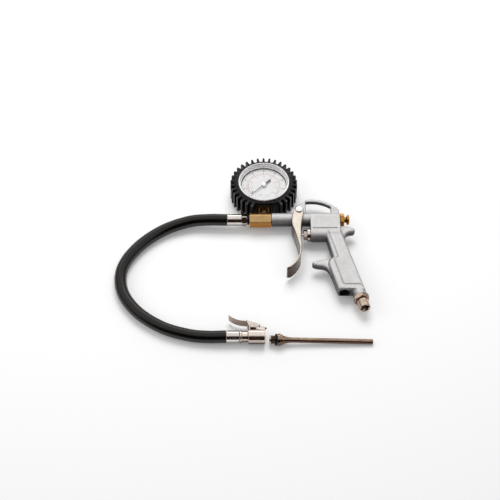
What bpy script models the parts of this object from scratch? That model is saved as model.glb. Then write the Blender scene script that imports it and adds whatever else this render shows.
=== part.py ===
"""A hand-held tyre inflator, lying on its side with its gauge face up.

A die-cast trigger gun blows air through its barrel into a brass tee. The tee feeds a booted
dial gauge and a rubber hose with a clip-on lever chuck. A button at the gun's rear lets air out,
and a loose blow nozzle lies beside the chuck.

Frame: the gauge axis is the Z axis and the table is Z = 0. The barrel runs along +X to the gun's
rear, and +Y points from the handle up to the gauge. All lengths are in metres.
"""

import math

import bmesh
import bpy
from mathutils import Matrix, Vector

MM = 0.001

# --- Fits -----------------------------------------------------------------------------------
FIT_GAP = 0.3 * MM  # between two pieces that touch
RUN_GAP = 0.4 * MM  # between a moving piece and what guides it from the side

# --- Where the main axes lie ----------------------------------------------------------------
GUN_MID_Z = 13.5 * MM  # mid plane of the gun, the barrel, the valve and the gauge socket
CASE_RADIUS = 29.5 * MM  # the gauge's steel cup, which the boot, the bezel and the socket follow
SOCKET_FACE_Y = -(CASE_RADIUS + 2.6 * MM)
SOCKET_NECK_SHOWN = 8.0 * MM  # between the socket and the tee
TEE_FLATS = 16.4 * MM
BARREL_Y = SOCKET_FACE_Y - SOCKET_NECK_SHOWN - TEE_FLATS / 2
VALVE_DROP = 23.7 * MM  # barrel axis to valve axis
VALVE_Y = BARREL_Y - VALVE_DROP
HANDLE_RAKE = math.radians(15.2)

# --- Gun body -------------------------------------------------------------------------------
BARREL_RADIUS = 8.15 * MM
BARREL_BORE_RADIUS = 3.6 * MM
SPIGOT_RADIUS = 6.2 * MM
SPIGOT_LENGTH = 3.2 * MM  # short, for the gauge port is close to the tee's end
HEAD_RADIUS = 8.6 * MM
HANDLE_HALF_THICKNESS = 7.8 * MM
HANDLE_EDGE_RADIUS = 3.6 * MM
HEAD_FRONT_X = 55.4 * MM
HEAD_REAR_X = 91.2 * MM
HANDLE_BOTTOM_Y = BARREL_Y - 110.0 * MM
HANDLE_FRONT_TOP = (73.3 * MM, BARREL_Y - 28.2 * MM)
RECESS_FOOT = (80.4 * MM, BARREL_Y - 61.9 * MM)
RECESS_LIP = (76.6 * MM, BARREL_Y - 64.1 * MM)
HANDLE_FRONT_X = 84.6 * MM  # front edge of the handle at its bottom
HANDLE_REAR_X = 116.2 * MM  # rear edge of the handle at its bottom
HANDLE_CORE_RADIUS = 6.2 * MM
HANDLE_CORE_INSET = 7.6 * MM  # core axis behind the handle's front edge
HANDLE_CORE_DEPTH = 40.0 * MM
ARCH_HALF_THICKNESS = 2.9 * MM
ARCH_BAR_WIDTH = 4.4 * MM
ARCH_EDGE_RADIUS = 1.0 * MM
WINDOW_FRONT_X = 50.7 * MM
WINDOW_REAR_X = 81.0 * MM
FRONT_HORN_TIP_X = 55.6 * MM
FRONT_HORN_Y = BARREL_Y - 68.9 * MM
REAR_HORN_TIP_X = 108.6 * MM
REAR_HORN_Y = BARREL_Y - 18.5 * MM
HORN_HALF_THICKNESS = 5.0 * MM
HORN_HALF_HEIGHT = 3.8 * MM
HORN_EDGE_RADIUS = 2.2 * MM

# --- Trigger and its pivot ------------------------------------------------------------------
PIVOT_X = 42.3 * MM
PIVOT_Y = BARREL_Y + 7.3 * MM
PIVOT_BOSS_RADIUS = 5.4 * MM
TRIGGER_HALF_WIDTH = 11.0 * MM
TRIGGER_SHEET = 1.3 * MM
TRIGGER_WEB_TOP_Y = BARREL_Y - 10.3 * MM
TRIGGER_TIP_RADIUS = 8.0 * MM
PIN_RADIUS = 2.0 * MM
PIN_HEAD_RADIUS = 4.7 * MM
PIN_HEAD_HEIGHT = 1.2 * MM
CLIP_THICKNESS = 0.8 * MM
CLIP_RADIUS = 3.8 * MM
PIN_TAIL = 0.4 * MM

# --- Trigger valve --------------------------------------------------------------------------
GLAND_HEX_FLATS = 11.0 * MM
GLAND_FRONT_X = 44.8 * MM
GLAND_FLANGE_X = 51.5 * MM
GLAND_FLANGE_RADIUS = 7.9 * MM
GLAND_THREAD_RADIUS = 5.7 * MM
GLAND_THREAD_LENGTH = 6.4 * MM
VALVE_CHAMBER_END_X = 88.6 * MM
STEM_RADIUS = 1.5 * MM
STEM_TIP_X = 37.5 * MM
PACKING_LENGTH = 2.4 * MM
PACKING_RADIUS = 3.3 * MM
CROSS_PASSAGE_RADIUS = 2.5 * MM
SEAT_LENGTH = 3.0 * MM
SEAT_BORE_RADIUS = 3.0 * MM
POPPET_RADIUS = 4.7 * MM
POPPET_LENGTH = 3.2 * MM
SPRING_WIRE_RADIUS = 0.45 * MM
VALVE_SPRING_RADIUS = 4.0 * MM
VALVE_SPRING_TURNS = 7

# --- Deflate button at the gun's rear -------------------------------------------------------
DEFLATE_HEX_FLATS = 14.0 * MM
DEFLATE_HEX_LENGTH = 5.0 * MM
DEFLATE_THREAD_RADIUS = 5.4 * MM
DEFLATE_THREAD_LENGTH = 9.0 * MM
DEFLATE_CHAMBER_X = 74.0 * MM
DEFLATE_TRAVEL = 2.5 * MM
BUTTON_RADIUS = 6.2 * MM
BUTTON_LENGTH = 3.0 * MM
BUTTON_WAIST_RADIUS = 3.5 * MM
BUTTON_WAIST_LENGTH = 5.4 * MM
BUTTON_STEM_RADIUS = 1.6 * MM
BUTTON_STANDOFF = 3.3 * MM  # gap between the hexagon and the button at rest
BUTTON_FLARE = BUTTON_STANDOFF - DEFLATE_TRAVEL - 0.1 * MM  # stays outside when pressed
DEFLATE_SPRING_RADIUS = 2.75 * MM
DEFLATE_SPRING_TURNS = 4
SMALL_WIRE_RADIUS = 0.35 * MM
DEFLATE_SEAL_LENGTH = 2.0 * MM
DEFLATE_SEAL_RADIUS = 4.2 * MM

# --- Air inlet at the handle's foot ---------------------------------------------------------
INLET_END_X = 114.6 * MM
INLET_END_Y = BARREL_Y - 131.7 * MM
INLET_NIPPLE_RADIUS = 6.6 * MM
INLET_NIPPLE_LENGTH = 12.0 * MM
INLET_BORE_RADIUS = 4.6 * MM
INLET_HEX_FLATS = 17.0 * MM
INLET_HEX_LENGTH = 5.0 * MM
INLET_THREAD_RADIUS = 5.6 * MM
INLET_THREAD_LENGTH = 8.0 * MM
INLET_BOSS_RADIUS = 8.0 * MM
INLET_BOSS_LENGTH = 34.0 * MM
INLET_SEAL_LENGTH = 1.2 * MM
AIRWAY_RADIUS = 3.0 * MM

# --- Brass tee ------------------------------------------------------------------------------
TEE_LEFT_X = -17.3 * MM
TEE_RIGHT_X = 8.7 * MM
TEE_BORE_RADIUS = 4.2 * MM

# --- Gauge ----------------------------------------------------------------------------------
BOOT_BACK = 2.5 * MM
BOOT_LIP_Z = 27.6 * MM
BOOT_RIB_BOTTOM_Z = 2.0 * MM
BOOT_RIB_TOP_Z = 26.2 * MM
RIB_COUNT = 31
RIB_WIDTH = 2.9 * MM
RIB_FREE_ARC = math.radians(21.0)  # half of the plain arc round the brass socket
WINDOW_HALF_WIDTH = 8.6 * MM
WINDOW_HALF_HEIGHT = 8.4 * MM
BEZEL_SKIRT = 1.2 * MM
BEZEL_RADIUS = CASE_RADIUS + FIT_GAP + BEZEL_SKIRT
BOOT_WALL = 4.5 * MM  # thickness at the bezel
BOOT_WALL_RADIUS = BEZEL_RADIUS + FIT_GAP + BOOT_WALL
BOOT_RIB_HEIGHT = 5.2 * MM
BOOT_RIB_RADIUS = BOOT_WALL_RADIUS + BOOT_RIB_HEIGHT
BEZEL_TOP_Z = 29.5 * MM
BEZEL_SKIRT_Z = 20.4 * MM
BEZEL_RIM = 1.7 * MM
BEZEL_SIGHT_RADIUS = CASE_RADIUS - 1.7 * MM
CASE_WALL = 1.0 * MM
CASE_TOP_Z = 22.4 * MM
LENS_SEAT_Z = 24.8 * MM
LENS_THICKNESS = 1.6 * MM
LENS_RADIUS = CASE_RADIUS - 1.1 * MM
DIAL_RADIUS = CASE_RADIUS - CASE_WALL - 1.1 * MM
DIAL_THICKNESS = 0.6 * MM
DIAL_TOP_Z = 21.0 * MM
DIAL_SCREW_X = 4.3 * MM
DIAL_SCREW_Y = -13.6 * MM
DIAL_SCREW_HEAD_RADIUS = 1.5 * MM
DIAL_SCREW_HEAD = 0.7 * MM
DIAL_SCREW_RADIUS = 0.7 * MM
STANDOFF_RADIUS = 1.9 * MM
SOCKET_FLATS = 12.7 * MM
SOCKET_INNER_Y = -(CASE_RADIUS - 9.5 * MM)
SOCKET_STEP_Y = -(CASE_RADIUS - 2.9 * MM)
SOCKET_NECK_RADIUS = 4.85 * MM
SOCKET_NECK_DEPTH = 4.0 * MM  # how far the neck enters the tee
PLATE_THICKNESS = 1.0 * MM
PLATE_HALF_WIDTH = 5.6 * MM
PLATE_TOP_Y = 4.6 * MM
FRONT_PLATE_Z = 16.6 * MM
PILLAR_RADIUS = 1.2 * MM
PILLAR_X = 4.1 * MM
PILLAR_Y = 2.6 * MM
ARBOR_RADIUS = 0.9 * MM
SECTOR_PIVOT_Y = -11.0 * MM
GEAR_RATIO = 7.0
POINTER_SWEEP = math.radians(270.0)
POINTER_ZERO = math.radians(225.0)
SECTOR_THICKNESS = 1.2 * MM
SECTOR_Z = 11.6 * MM
SECTOR_TAIL = 4.5 * MM
SECTOR_TAIL_ANGLE = math.radians(-100.0)
LINK_Z = 14.8 * MM
LINK_THICKNESS = 0.6 * MM
LINK_PIN_RADIUS = 0.5 * MM
POINTER_Z = 23.0 * MM
POINTER_THICKNESS = 0.5 * MM
POINTER_LENGTH = 21.3 * MM
POINTER_TAIL = 12.0 * MM
POINTER_HUB_RADIUS = 2.9 * MM
BOURDON_RADIUS = CASE_RADIUS - 7.1 * MM
BOURDON_TUBE_RADIUS = 1.9 * MM
BOURDON_END_ANGLE = math.radians(-20.0)

# --- Hose and its ends ----------------------------------------------------------------------
HOSE_RADIUS = 7.2 * MM
HOSE_SPACING = 2.0  # hose diameters between the points of its tube
HOSE_LEAD = 4.0 * MM  # straight length at each end
FERRULE_RADIUS = 7.4 * MM
FERRULE_BORE_RADIUS = 4.3 * MM
GUN_FERRULE_LEFT_X = -44.3 * MM
GUN_FERRULE_LENGTH = 17.1 * MM
STEM_BORE_RADIUS = 2.5 * MM
STEM_THREAD_LENGTH = 8.0 * MM
STEM_HEX_FLATS = 13.6 * MM
STEM_HEX_LENGTH = 6.4 * MM
STEM_NECK_RADIUS = 4.4 * MM
STEM_NECK_LENGTH = 3.2 * MM
STEM_SEAL_RADIUS = 6.0 * MM

# --- Clip-on chuck --------------------------------------------------------------------------
CHUCK_Y = -215.5 * MM
CHUCK_RADIUS = 8.6 * MM
CHUCK_Z = CHUCK_RADIUS
CHUCK_LENGTH = 18.9 * MM
CHUCK_END_X = 0.0
CHUCK_MOUTH_RADIUS = 4.5 * MM
CHUCK_MOUTH_DEPTH = 9.5 * MM
CHUCK_NECK_RADIUS = 6.2 * MM
CHUCK_NECK_LENGTH = 6.4 * MM
CHUCK_BEAD_RADIUS = 7.3 * MM
CHUCK_BEAD_LENGTH = 3.2 * MM
CHUCK_FERRULE_LENGTH = 14.4 * MM
CHUCK_THREAD_RADIUS = 4.6 * MM
CHUCK_THREAD_LENGTH = 6.0 * MM
LUG_HALF_THICKNESS = 4.4 * MM
LUG_SLOT_HALF = 2.2 * MM
RIVET_X = -14.1 * MM
RIVET_Y = CHUCK_Y + 10.5 * MM
RIVET_RADIUS = 1.3 * MM
RIVET_HEAD_RADIUS = 2.3 * MM
RIVET_HEAD_HEIGHT = 0.8 * MM
LEVER_SHEET = 1.2 * MM
LEVER_TAB_HALF = 5.3 * MM
LEVER_OPEN = math.radians(25.0)
CLAW_X = -6.2 * MM
CLAW_TIP_Y = RIVET_Y - 4.6 * MM
SLOT_FRONT_X = -8.4 * MM
SLOT_REAR_X = -3.0 * MM
LUG_TOP_Y = RIVET_Y + 1.4 * MM
SPRING_COIL_RADIUS = 2.3 * MM
PLUG_RADIUS = 1.1 * MM
PLUG_REACH = 1.9 * MM

# --- Blow nozzle ----------------------------------------------------------------------------
NOZZLE_LEFT_X = 4.8 * MM
NOZZLE_Y = -218.6 * MM
NOZZLE_LENGTH = 116.8 * MM
NOZZLE_THREAD_RADIUS = 4.9 * MM
NOZZLE_THREAD_LENGTH = 6.0 * MM
NOZZLE_GROOVE_RADIUS = 4.2 * MM
NOZZLE_SEAL_LENGTH = 2.6 * MM
NOZZLE_SEAL_RADIUS = 6.8 * MM
NOZZLE_FLANGE_RADIUS = 7.0 * MM
NOZZLE_FLANGE_LENGTH = 3.2 * MM
NOZZLE_STEP_RADIUS = 6.0 * MM
NOZZLE_STEP_LENGTH = 2.4 * MM
NOZZLE_TAPER_LENGTH = 12.0 * MM
NOZZLE_TUBE_RADIUS = 3.0 * MM
NOZZLE_BORE_RADIUS = 1.6 * MM

# --- Facets ---------------------------------------------------------------------------------
ROUND = 24  # sides of a small round piece
ROUND_LARGE = 48  # sides of the gauge
ARC_STEPS = 8
HEAD_STEPS = 13  # odd, so that no corner lies on the mid plane

# The hose's own points, gun end first: x, y and z of its centre line.
HOSE_ROUTE = [
    (-67.0 * MM, -47.4 * MM, 12.6 * MM),
    (-91.0 * MM, -48.6 * MM, 10.4 * MM),
    (-121.0 * MM, -60.0 * MM, 7.9 * MM),
    (-147.0 * MM, -82.0 * MM, HOSE_RADIUS),
    (-164.0 * MM, -109.0 * MM, HOSE_RADIUS),
    (-168.0 * MM, -134.0 * MM, HOSE_RADIUS),
    (-161.0 * MM, -159.5 * MM, HOSE_RADIUS),
    (-142.5 * MM, -183.5 * MM, HOSE_RADIUS),
    (-115.0 * MM, -202.5 * MM, HOSE_RADIUS),
    (-86.0 * MM, -212.3 * MM, HOSE_RADIUS),
    (-64.0 * MM, -215.2 * MM, 7.7 * MM),
]

PARTS_NAME = "tire_inflator"
CUTTERS_NAME = "cutters"
X_AXIS = Vector((1.0, 0.0, 0.0))
Z_AXIS = Vector((0.0, 0.0, 1.0))
HANDLE_DOWN = Vector((math.sin(HANDLE_RAKE), -math.cos(HANDLE_RAKE), 0.0))


# ============================================================================================
# Scene and materials
# ============================================================================================


def clear_scene():
    """Remove every object and make the two collections."""
    for obj in list(bpy.data.objects):
        bpy.data.objects.remove(obj, do_unlink=True)
    for name in (PARTS_NAME, CUTTERS_NAME):
        collection = bpy.data.collections.new(name)
        bpy.context.scene.collection.children.link(collection)


def finish(name, colour, metallic, roughness):
    """Return a plain Principled material, one for each name."""
    existing = bpy.data.materials.get(name)
    if existing:
        return existing
    material = bpy.data.materials.new(name)
    material.use_nodes = True
    shader = material.node_tree.nodes["Principled BSDF"]
    shader.inputs["Base Color"].default_value = (*colour, 1.0)
    shader.inputs["Metallic"].default_value = metallic
    shader.inputs["Roughness"].default_value = roughness
    return material


def cast_aluminium():
    return finish("cast_aluminium", (0.56, 0.57, 0.58), 1.0, 0.45)


def nickel_plate():
    return finish("nickel_plate", (0.62, 0.56, 0.50), 1.0, 0.2)


def brass():
    return finish("brass", (0.62, 0.40, 0.16), 1.0, 0.3)


def spring_steel():
    return finish("spring_steel", (0.50, 0.50, 0.52), 1.0, 0.3)


def black_rubber():
    return finish("black_rubber", (0.012, 0.012, 0.013), 0.0, 0.55)


def bright_steel():
    return finish("bright_steel", (0.72, 0.72, 0.73), 1.0, 0.15)


def painted_dial():
    return finish("painted_dial", (0.85, 0.85, 0.84), 0.0, 0.5)


def black_paint():
    return finish("black_paint", (0.015, 0.015, 0.015), 0.0, 0.5)


def clear_lens():
    return finish("clear_lens", (0.9, 0.93, 0.93), 0.0, 0.05)


# ============================================================================================
# Shape tools
# ============================================================================================


def link(obj, material=None):
    """Put an object in the parts collection, or in the cutters' when it has no material."""
    if material is None:
        bpy.data.collections[CUTTERS_NAME].objects.link(obj)
        obj.hide_render = True
        obj.display_type = "WIRE"
    else:
        bpy.data.collections[PARTS_NAME].objects.link(obj)
        obj.data.materials.clear()
        obj.data.materials.append(material)
    return obj


def point_along(obj, location, axis):
    """Move an object's origin to a place and turn its local Z to an axis."""
    axis = Vector(axis).normalized()
    turn = Matrix.Identity(4)
    if axis.z < 0.999:
        turn = axis.to_track_quat("Z", "Y").to_matrix().to_4x4()
    obj.matrix_world = Matrix.Translation(Vector(location)) @ turn


def mesh_from(obj, merge_flats=False):
    """Return the evaluated mesh of a curve or of an object with modifiers, welded and closed."""
    bpy.context.view_layer.update()
    evaluated = obj.evaluated_get(bpy.context.evaluated_depsgraph_get())
    mesh = bpy.data.meshes.new_from_object(evaluated)
    shape = bmesh.new()
    shape.from_mesh(mesh)
    bmesh.ops.remove_doubles(shape, verts=shape.verts, dist=0.002 * MM)
    bmesh.ops.dissolve_degenerate(shape, edges=shape.edges, dist=0.002 * MM)
    if merge_flats:
        bmesh.ops.dissolve_limit(shape, angle_limit=math.radians(0.2), verts=shape.verts,
                                 edges=shape.edges)
    bmesh.ops.recalc_face_normals(shape, faces=shape.faces)
    shape.to_mesh(mesh)
    shape.free()
    return mesh


def solid_from(source, name, material, merge_flats=False):
    """Replace a temporary object by a mesh object of the same shape and place."""
    mesh = mesh_from(source, merge_flats)
    mesh.name = name
    mesh.shade_smooth()
    mesh.set_sharp_from_angle(angle=math.radians(32.0))
    solid = bpy.data.objects.new(name, mesh)
    solid.matrix_world = source.matrix_world.copy()
    link(solid, material)
    bpy.data.objects.remove(source, do_unlink=True)
    return solid


def turned(name, profile, location, axis, material=None, sides=ROUND):
    """Turn a profile of (radius, height) pairs about its height axis.

    A profile that starts and ends on the axis makes a solid, and any other is closed on itself
    and makes a ring. The height axis is local Z.
    """
    points = [(radius, 0.0, height) for radius, height in profile]
    ring = profile[0][0] > 0.0 or profile[-1][0] > 0.0
    edges = [(i, i + 1) for i in range(len(points) - 1)]
    if ring:
        edges.append((len(points) - 1, 0))
    mesh = bpy.data.meshes.new(name + "_profile")
    mesh.from_pydata(points, edges, [])
    source = bpy.data.objects.new(name + "_profile", mesh)
    bpy.data.collections[CUTTERS_NAME].objects.link(source)
    screw = source.modifiers.new("turn", "SCREW")
    screw.axis = "Z"
    screw.steps = sides
    screw.render_steps = sides
    screw.use_merge_vertices = True
    screw.merge_threshold = 0.001 * MM
    point_along(source, location, axis)
    # Half a side's turn keeps the corners off the planes that pass through the axis.
    source.matrix_world = source.matrix_world @ Matrix.Rotation(math.pi / sides, 4, "Z")
    return solid_from(source, name, material, merge_flats=not ring)


def rod(name, radius, start, end, material=None, sides=ROUND):
    """Make a plain cylinder between two points."""
    start = Vector(start)
    length = (Vector(end) - start).length
    profile = [(0.0, length), (radius, length), (radius, 0.0), (0.0, 0.0)]
    return turned(name, profile, start, Vector(end) - start, material, sides)


def block(name, low, high, material=None):
    """Make a box from its two corners."""
    low = Vector(low)
    high = Vector(high)
    shape = bmesh.new()
    bmesh.ops.create_cube(shape, size=1.0)
    size = high - low
    bmesh.ops.scale(shape, vec=size, verts=shape.verts)
    mesh = bpy.data.meshes.new(name)
    shape.to_mesh(mesh)
    shape.free()
    box = bpy.data.objects.new(name, mesh)
    box.matrix_world = Matrix.Translation((low + high) / 2)
    return link(box, material)


def plate(name, outlines, mid, half, material=None, edge_radius=0.0, axis=Z_AXIS):
    """Fill flat outlines and thicken them evenly to both sides of a plane.

    Outline points are (x, y) pairs. Inner outlines are holes. The plane passes through mid and
    is square to axis. The long edges are rounded when an edge radius is given.
    """
    curve = bpy.data.curves.new(name, "CURVE")
    curve.dimensions = "2D"
    curve.fill_mode = "BOTH"
    curve.extrude = half - edge_radius
    curve.bevel_depth = edge_radius
    curve.offset = -edge_radius
    curve.bevel_resolution = 1
    for outline in outlines:
        spline = curve.splines.new("POLY")
        spline.points.add(len(outline) - 1)
        spline.use_cyclic_u = True
        for point, (x, y) in zip(spline.points, outline):
            point.co = (x, y, 0.0, 1.0)
    source = bpy.data.objects.new(name + "_outline", curve)
    bpy.data.collections[CUTTERS_NAME].objects.link(source)
    point_along(source, mid, axis)
    return solid_from(source, name, material)


def tube(name, points, radius, material=None, sides_level=1):
    """Make an unbroken round tube with closed ends through a list of points."""
    curve = bpy.data.curves.new(name, "CURVE")
    curve.dimensions = "3D"
    curve.bevel_depth = radius
    curve.bevel_resolution = sides_level
    curve.use_fill_caps = True
    spline = curve.splines.new("POLY")
    spline.points.add(len(points) - 1)
    for point, place in zip(spline.points, points):
        point.co = (*place, 1.0)
    source = bpy.data.objects.new(name + "_path", curve)
    bpy.data.collections[CUTTERS_NAME].objects.link(source)
    return solid_from(source, name, material)


def combine(target, other, operation):
    """Add a live Boolean of a cutter or a blank to a solid."""
    change = target.modifiers.new(other.name, "BOOLEAN")
    change.operation = operation
    change.solver = "EXACT"
    change.object = other
    return target


def weld(target, distance=0.03 * MM):
    """Join the corners that lie almost on each other after a row of Booleans."""
    change = target.modifiers.new("weld", "WELD")
    change.merge_threshold = distance
    return target


def cut(target, *cutters):
    for cutter in cutters:
        combine(target, cutter, "DIFFERENCE")
    return target


def join(target, *blanks):
    for blank in blanks:
        combine(target, blank, "UNION")
    return target


def arc(centre, radius, start, end, steps=ARC_STEPS):
    """Return points along an arc, with angles in degrees."""
    points = []
    for i in range(steps + 1):
        angle = math.radians(start + (end - start) * i / steps)
        points.append((centre[0] + radius * math.cos(angle), centre[1] + radius * math.sin(angle)))
    return points


def hexagon(flats):
    """Return a hexagon with its flats square to the first axis of its plane."""
    corner = flats / math.sqrt(3.0)
    angles = [math.radians(30 + 60 * i) for i in range(6)]
    return [(corner * math.cos(a), corner * math.sin(a)) for a in angles]


def hexagon_bar(name, flats, start, end, material=None):
    """Make a hexagonal bar between two points, with a flat on either side of its plane."""
    start = Vector(start)
    end = Vector(end)
    half = (end - start).length / 2
    return plate(name, [hexagon(flats)], (start + end) / 2, half, material, axis=end - start)


def ring_profile(inner, outer, bottom, top):
    """Return the closed section of a plain ring, down its outer side first."""
    return [(outer, top), (outer, bottom), (inner, bottom), (inner, top)]


def coil(centre_radius, start, end, turns, points_per_turn=9):
    """Return points of a helix along Z that starts and ends with its own turn count."""
    count = int(turns * points_per_turn)
    points = []
    for i in range(count + 1):
        angle = 2 * math.pi * turns * i / count
        height = start + (end - start) * i / count
        points.append(
            Vector((centre_radius * math.cos(angle), centre_radius * math.sin(angle), height))
        )
    return points


def print_coil_gap(name, length, turns, wire_radius):
    """Print the least gap between neighbouring turns of a coil."""
    gap = length / turns - 2 * wire_radius
    print(f"{name}: least gap to itself {gap / MM:.2f} mm")


def on_gun(x, y, z=0.0):
    """Return a point given its height over the gun's mid plane."""
    return Vector((x, y, GUN_MID_Z + z))


# ============================================================================================
# Gun body
# ============================================================================================


def inlet_point(distance):
    """Return a point on the inlet axis, a distance up from its open end."""
    return on_gun(INLET_END_X, INLET_END_Y) - HANDLE_DOWN * distance


def rear_edge_x(y):
    """Return the handle's rear edge at a height, which leans with the handle."""
    return HANDLE_REAR_X - (y - HANDLE_BOTTOM_Y) * math.tan(HANDLE_RAKE)


def front_edge_x(y):
    """Return the lower handle's front edge at a height."""
    return HANDLE_FRONT_X - (y - HANDLE_BOTTOM_Y) * math.tan(HANDLE_RAKE)


def handle_outline():
    """Return the side view of the handle, run up into the head and past its own bottom."""
    overrun_y = HANDLE_BOTTOM_Y - 3 * HANDLE_EDGE_RADIUS
    lip_foot_y = RECESS_LIP[1] - 2 * HANDLE_EDGE_RADIUS
    root_y = (BARREL_Y + VALVE_Y) / 2
    return [
        (rear_edge_x(root_y), root_y),
        (rear_edge_x(overrun_y), overrun_y),
        (front_edge_x(overrun_y), overrun_y),
        (front_edge_x(lip_foot_y), lip_foot_y),
        RECESS_LIP,
        RECESS_FOOT,
        HANDLE_FRONT_TOP,
        (HANDLE_FRONT_TOP[0], root_y),
    ]


def head_section():
    """Return the head's cross-section: two half rounds with flat sides between them."""
    top = arc((BARREL_Y, 0.0), HEAD_RADIUS, -90, 90, HEAD_STEPS)
    bottom = arc((VALVE_Y, 0.0), HEAD_RADIUS, 90, 270, HEAD_STEPS)
    return top + bottom


def bar_along_x(name, section, start_x, end_x):
    """Extrude a section of (y, z) pairs between two stations of the gun."""
    mid = on_gun((start_x + end_x) / 2, 0.0)
    return plate(name, [section], mid, (end_x - start_x) / 2, axis=X_AXIS)


def arch_outlines():
    """Return the hanging loop over the head: its outer edge and its window."""
    outer_front_x = WINDOW_FRONT_X - 2 * ARCH_BAR_WIDTH
    crown_y = BARREL_Y + 31.0 * MM
    centre = (WINDOW_FRONT_X + 7.0 * MM, crown_y - 42.0 * MM)
    outer_radius = 42.0 * MM
    inner_radius = outer_radius - ARCH_BAR_WIDTH
    front_angle = 98.0
    rear_x = HEAD_REAR_X - FIT_GAP
    rear_angle = math.degrees(math.acos((rear_x - centre[0]) / outer_radius))
    window_rear = math.degrees(math.acos((WINDOW_REAR_X - centre[0]) / inner_radius))
    window_front = math.degrees(math.acos((WINDOW_FRONT_X - centre[0]) / inner_radius))
    outer = arc(centre, outer_radius, rear_angle, front_angle, 10)
    outer += [
        (outer_front_x - ARCH_BAR_WIDTH, PIVOT_Y + 2 * PIVOT_BOSS_RADIUS),
        (PIVOT_X - 1.6 * PIVOT_BOSS_RADIUS, PIVOT_Y + 1.5 * PIVOT_BOSS_RADIUS),
        (PIVOT_X - 2.2 * PIVOT_BOSS_RADIUS, BARREL_Y + BARREL_RADIUS * 0.8),
        (PIVOT_X - 2.2 * PIVOT_BOSS_RADIUS, BARREL_Y - BARREL_RADIUS / 2),
        (rear_x, BARREL_Y - BARREL_RADIUS / 2),
    ]
    window = arc(centre, inner_radius, window_front, window_rear, 10)
    sill_y = BARREL_Y + BARREL_RADIUS / 2
    window += [(WINDOW_REAR_X, sill_y), (WINDOW_FRONT_X, sill_y)]
    return [outer, window]


def front_horn_outline():
    """Return the finger rest that stands forward of the handle."""
    tip = arc((FRONT_HORN_TIP_X + HORN_HALF_HEIGHT, FRONT_HORN_Y), HORN_HALF_HEIGHT, 95, 265)
    root_x = HANDLE_FRONT_TOP[0] + 2 * HANDLE_EDGE_RADIUS
    crest_x = root_x - 8.0 * MM
    foot_y = FRONT_HORN_Y - HORN_HALF_HEIGHT - 1.6 * MM
    crest_y = FRONT_HORN_Y + HORN_HALF_HEIGHT + 1.2 * MM
    return tip + [
        (crest_x, foot_y),
        (root_x + 4.0 * MM, foot_y - 2.5 * MM),
        (root_x + 4.0 * MM, crest_y - 2.0 * MM),
        (crest_x, crest_y),
    ]


def rear_horn_outline():
    """Return the hook behind the head that rests on the hand."""
    tip = arc((REAR_HORN_TIP_X - HORN_HALF_HEIGHT, REAR_HORN_Y), HORN_HALF_HEIGHT, -80, 80)
    root_x = HEAD_REAR_X - HANDLE_EDGE_RADIUS
    crest_y = REAR_HORN_Y + HORN_HALF_HEIGHT + 1.0 * MM
    heel_x = rear_edge_x(REAR_HORN_Y) + 3.0 * MM
    return tip + [
        (heel_x + 2.0 * MM, crest_y),
        (root_x, crest_y),
        (root_x, REAR_HORN_Y - 3.4 * HORN_HALF_HEIGHT),
        (heel_x, REAR_HORN_Y - 2.6 * HORN_HALF_HEIGHT),
        (heel_x + 3.0 * MM, REAR_HORN_Y - 1.5 * HORN_HALF_HEIGHT),
    ]


def gun_blanks():
    """Return the solids that the gun's casting is joined from, besides its handle."""
    mid = on_gun(0.0, 0.0)
    barrel_start = TEE_RIGHT_X + FIT_GAP
    boss_half = TRIGGER_HALF_WIDTH - TRIGGER_SHEET - RUN_GAP
    pivot = (PIVOT_X, PIVOT_Y)
    boss_foot = inlet_point(INLET_NIPPLE_LENGTH + INLET_HEX_LENGTH + FIT_GAP)
    horn = dict(half=HORN_HALF_THICKNESS, edge_radius=HORN_EDGE_RADIUS)
    return [
        plate("arch", arch_outlines(), mid, ARCH_HALF_THICKNESS, edge_radius=ARCH_EDGE_RADIUS),
        bar_along_x("head", head_section(), HEAD_FRONT_X, HEAD_REAR_X),
        rod("barrel", BARREL_RADIUS, on_gun(barrel_start, BARREL_Y),
            on_gun(HEAD_FRONT_X + BARREL_RADIUS, BARREL_Y), sides=32),
        rod("barrel_spigot", SPIGOT_RADIUS, on_gun(barrel_start - SPIGOT_LENGTH, BARREL_Y),
            on_gun(barrel_start + BARREL_RADIUS, BARREL_Y)),
        plate("front_horn", [front_horn_outline()], mid, **horn),
        plate("rear_horn", [rear_horn_outline()], mid, **horn),
        rod("pivot_boss", PIVOT_BOSS_RADIUS, on_gun(*pivot, -boss_half), on_gun(*pivot, boss_half)),
        rod("inlet_boss", INLET_BOSS_RADIUS, boss_foot, boss_foot - HANDLE_DOWN * INLET_BOSS_LENGTH),
    ]


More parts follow.
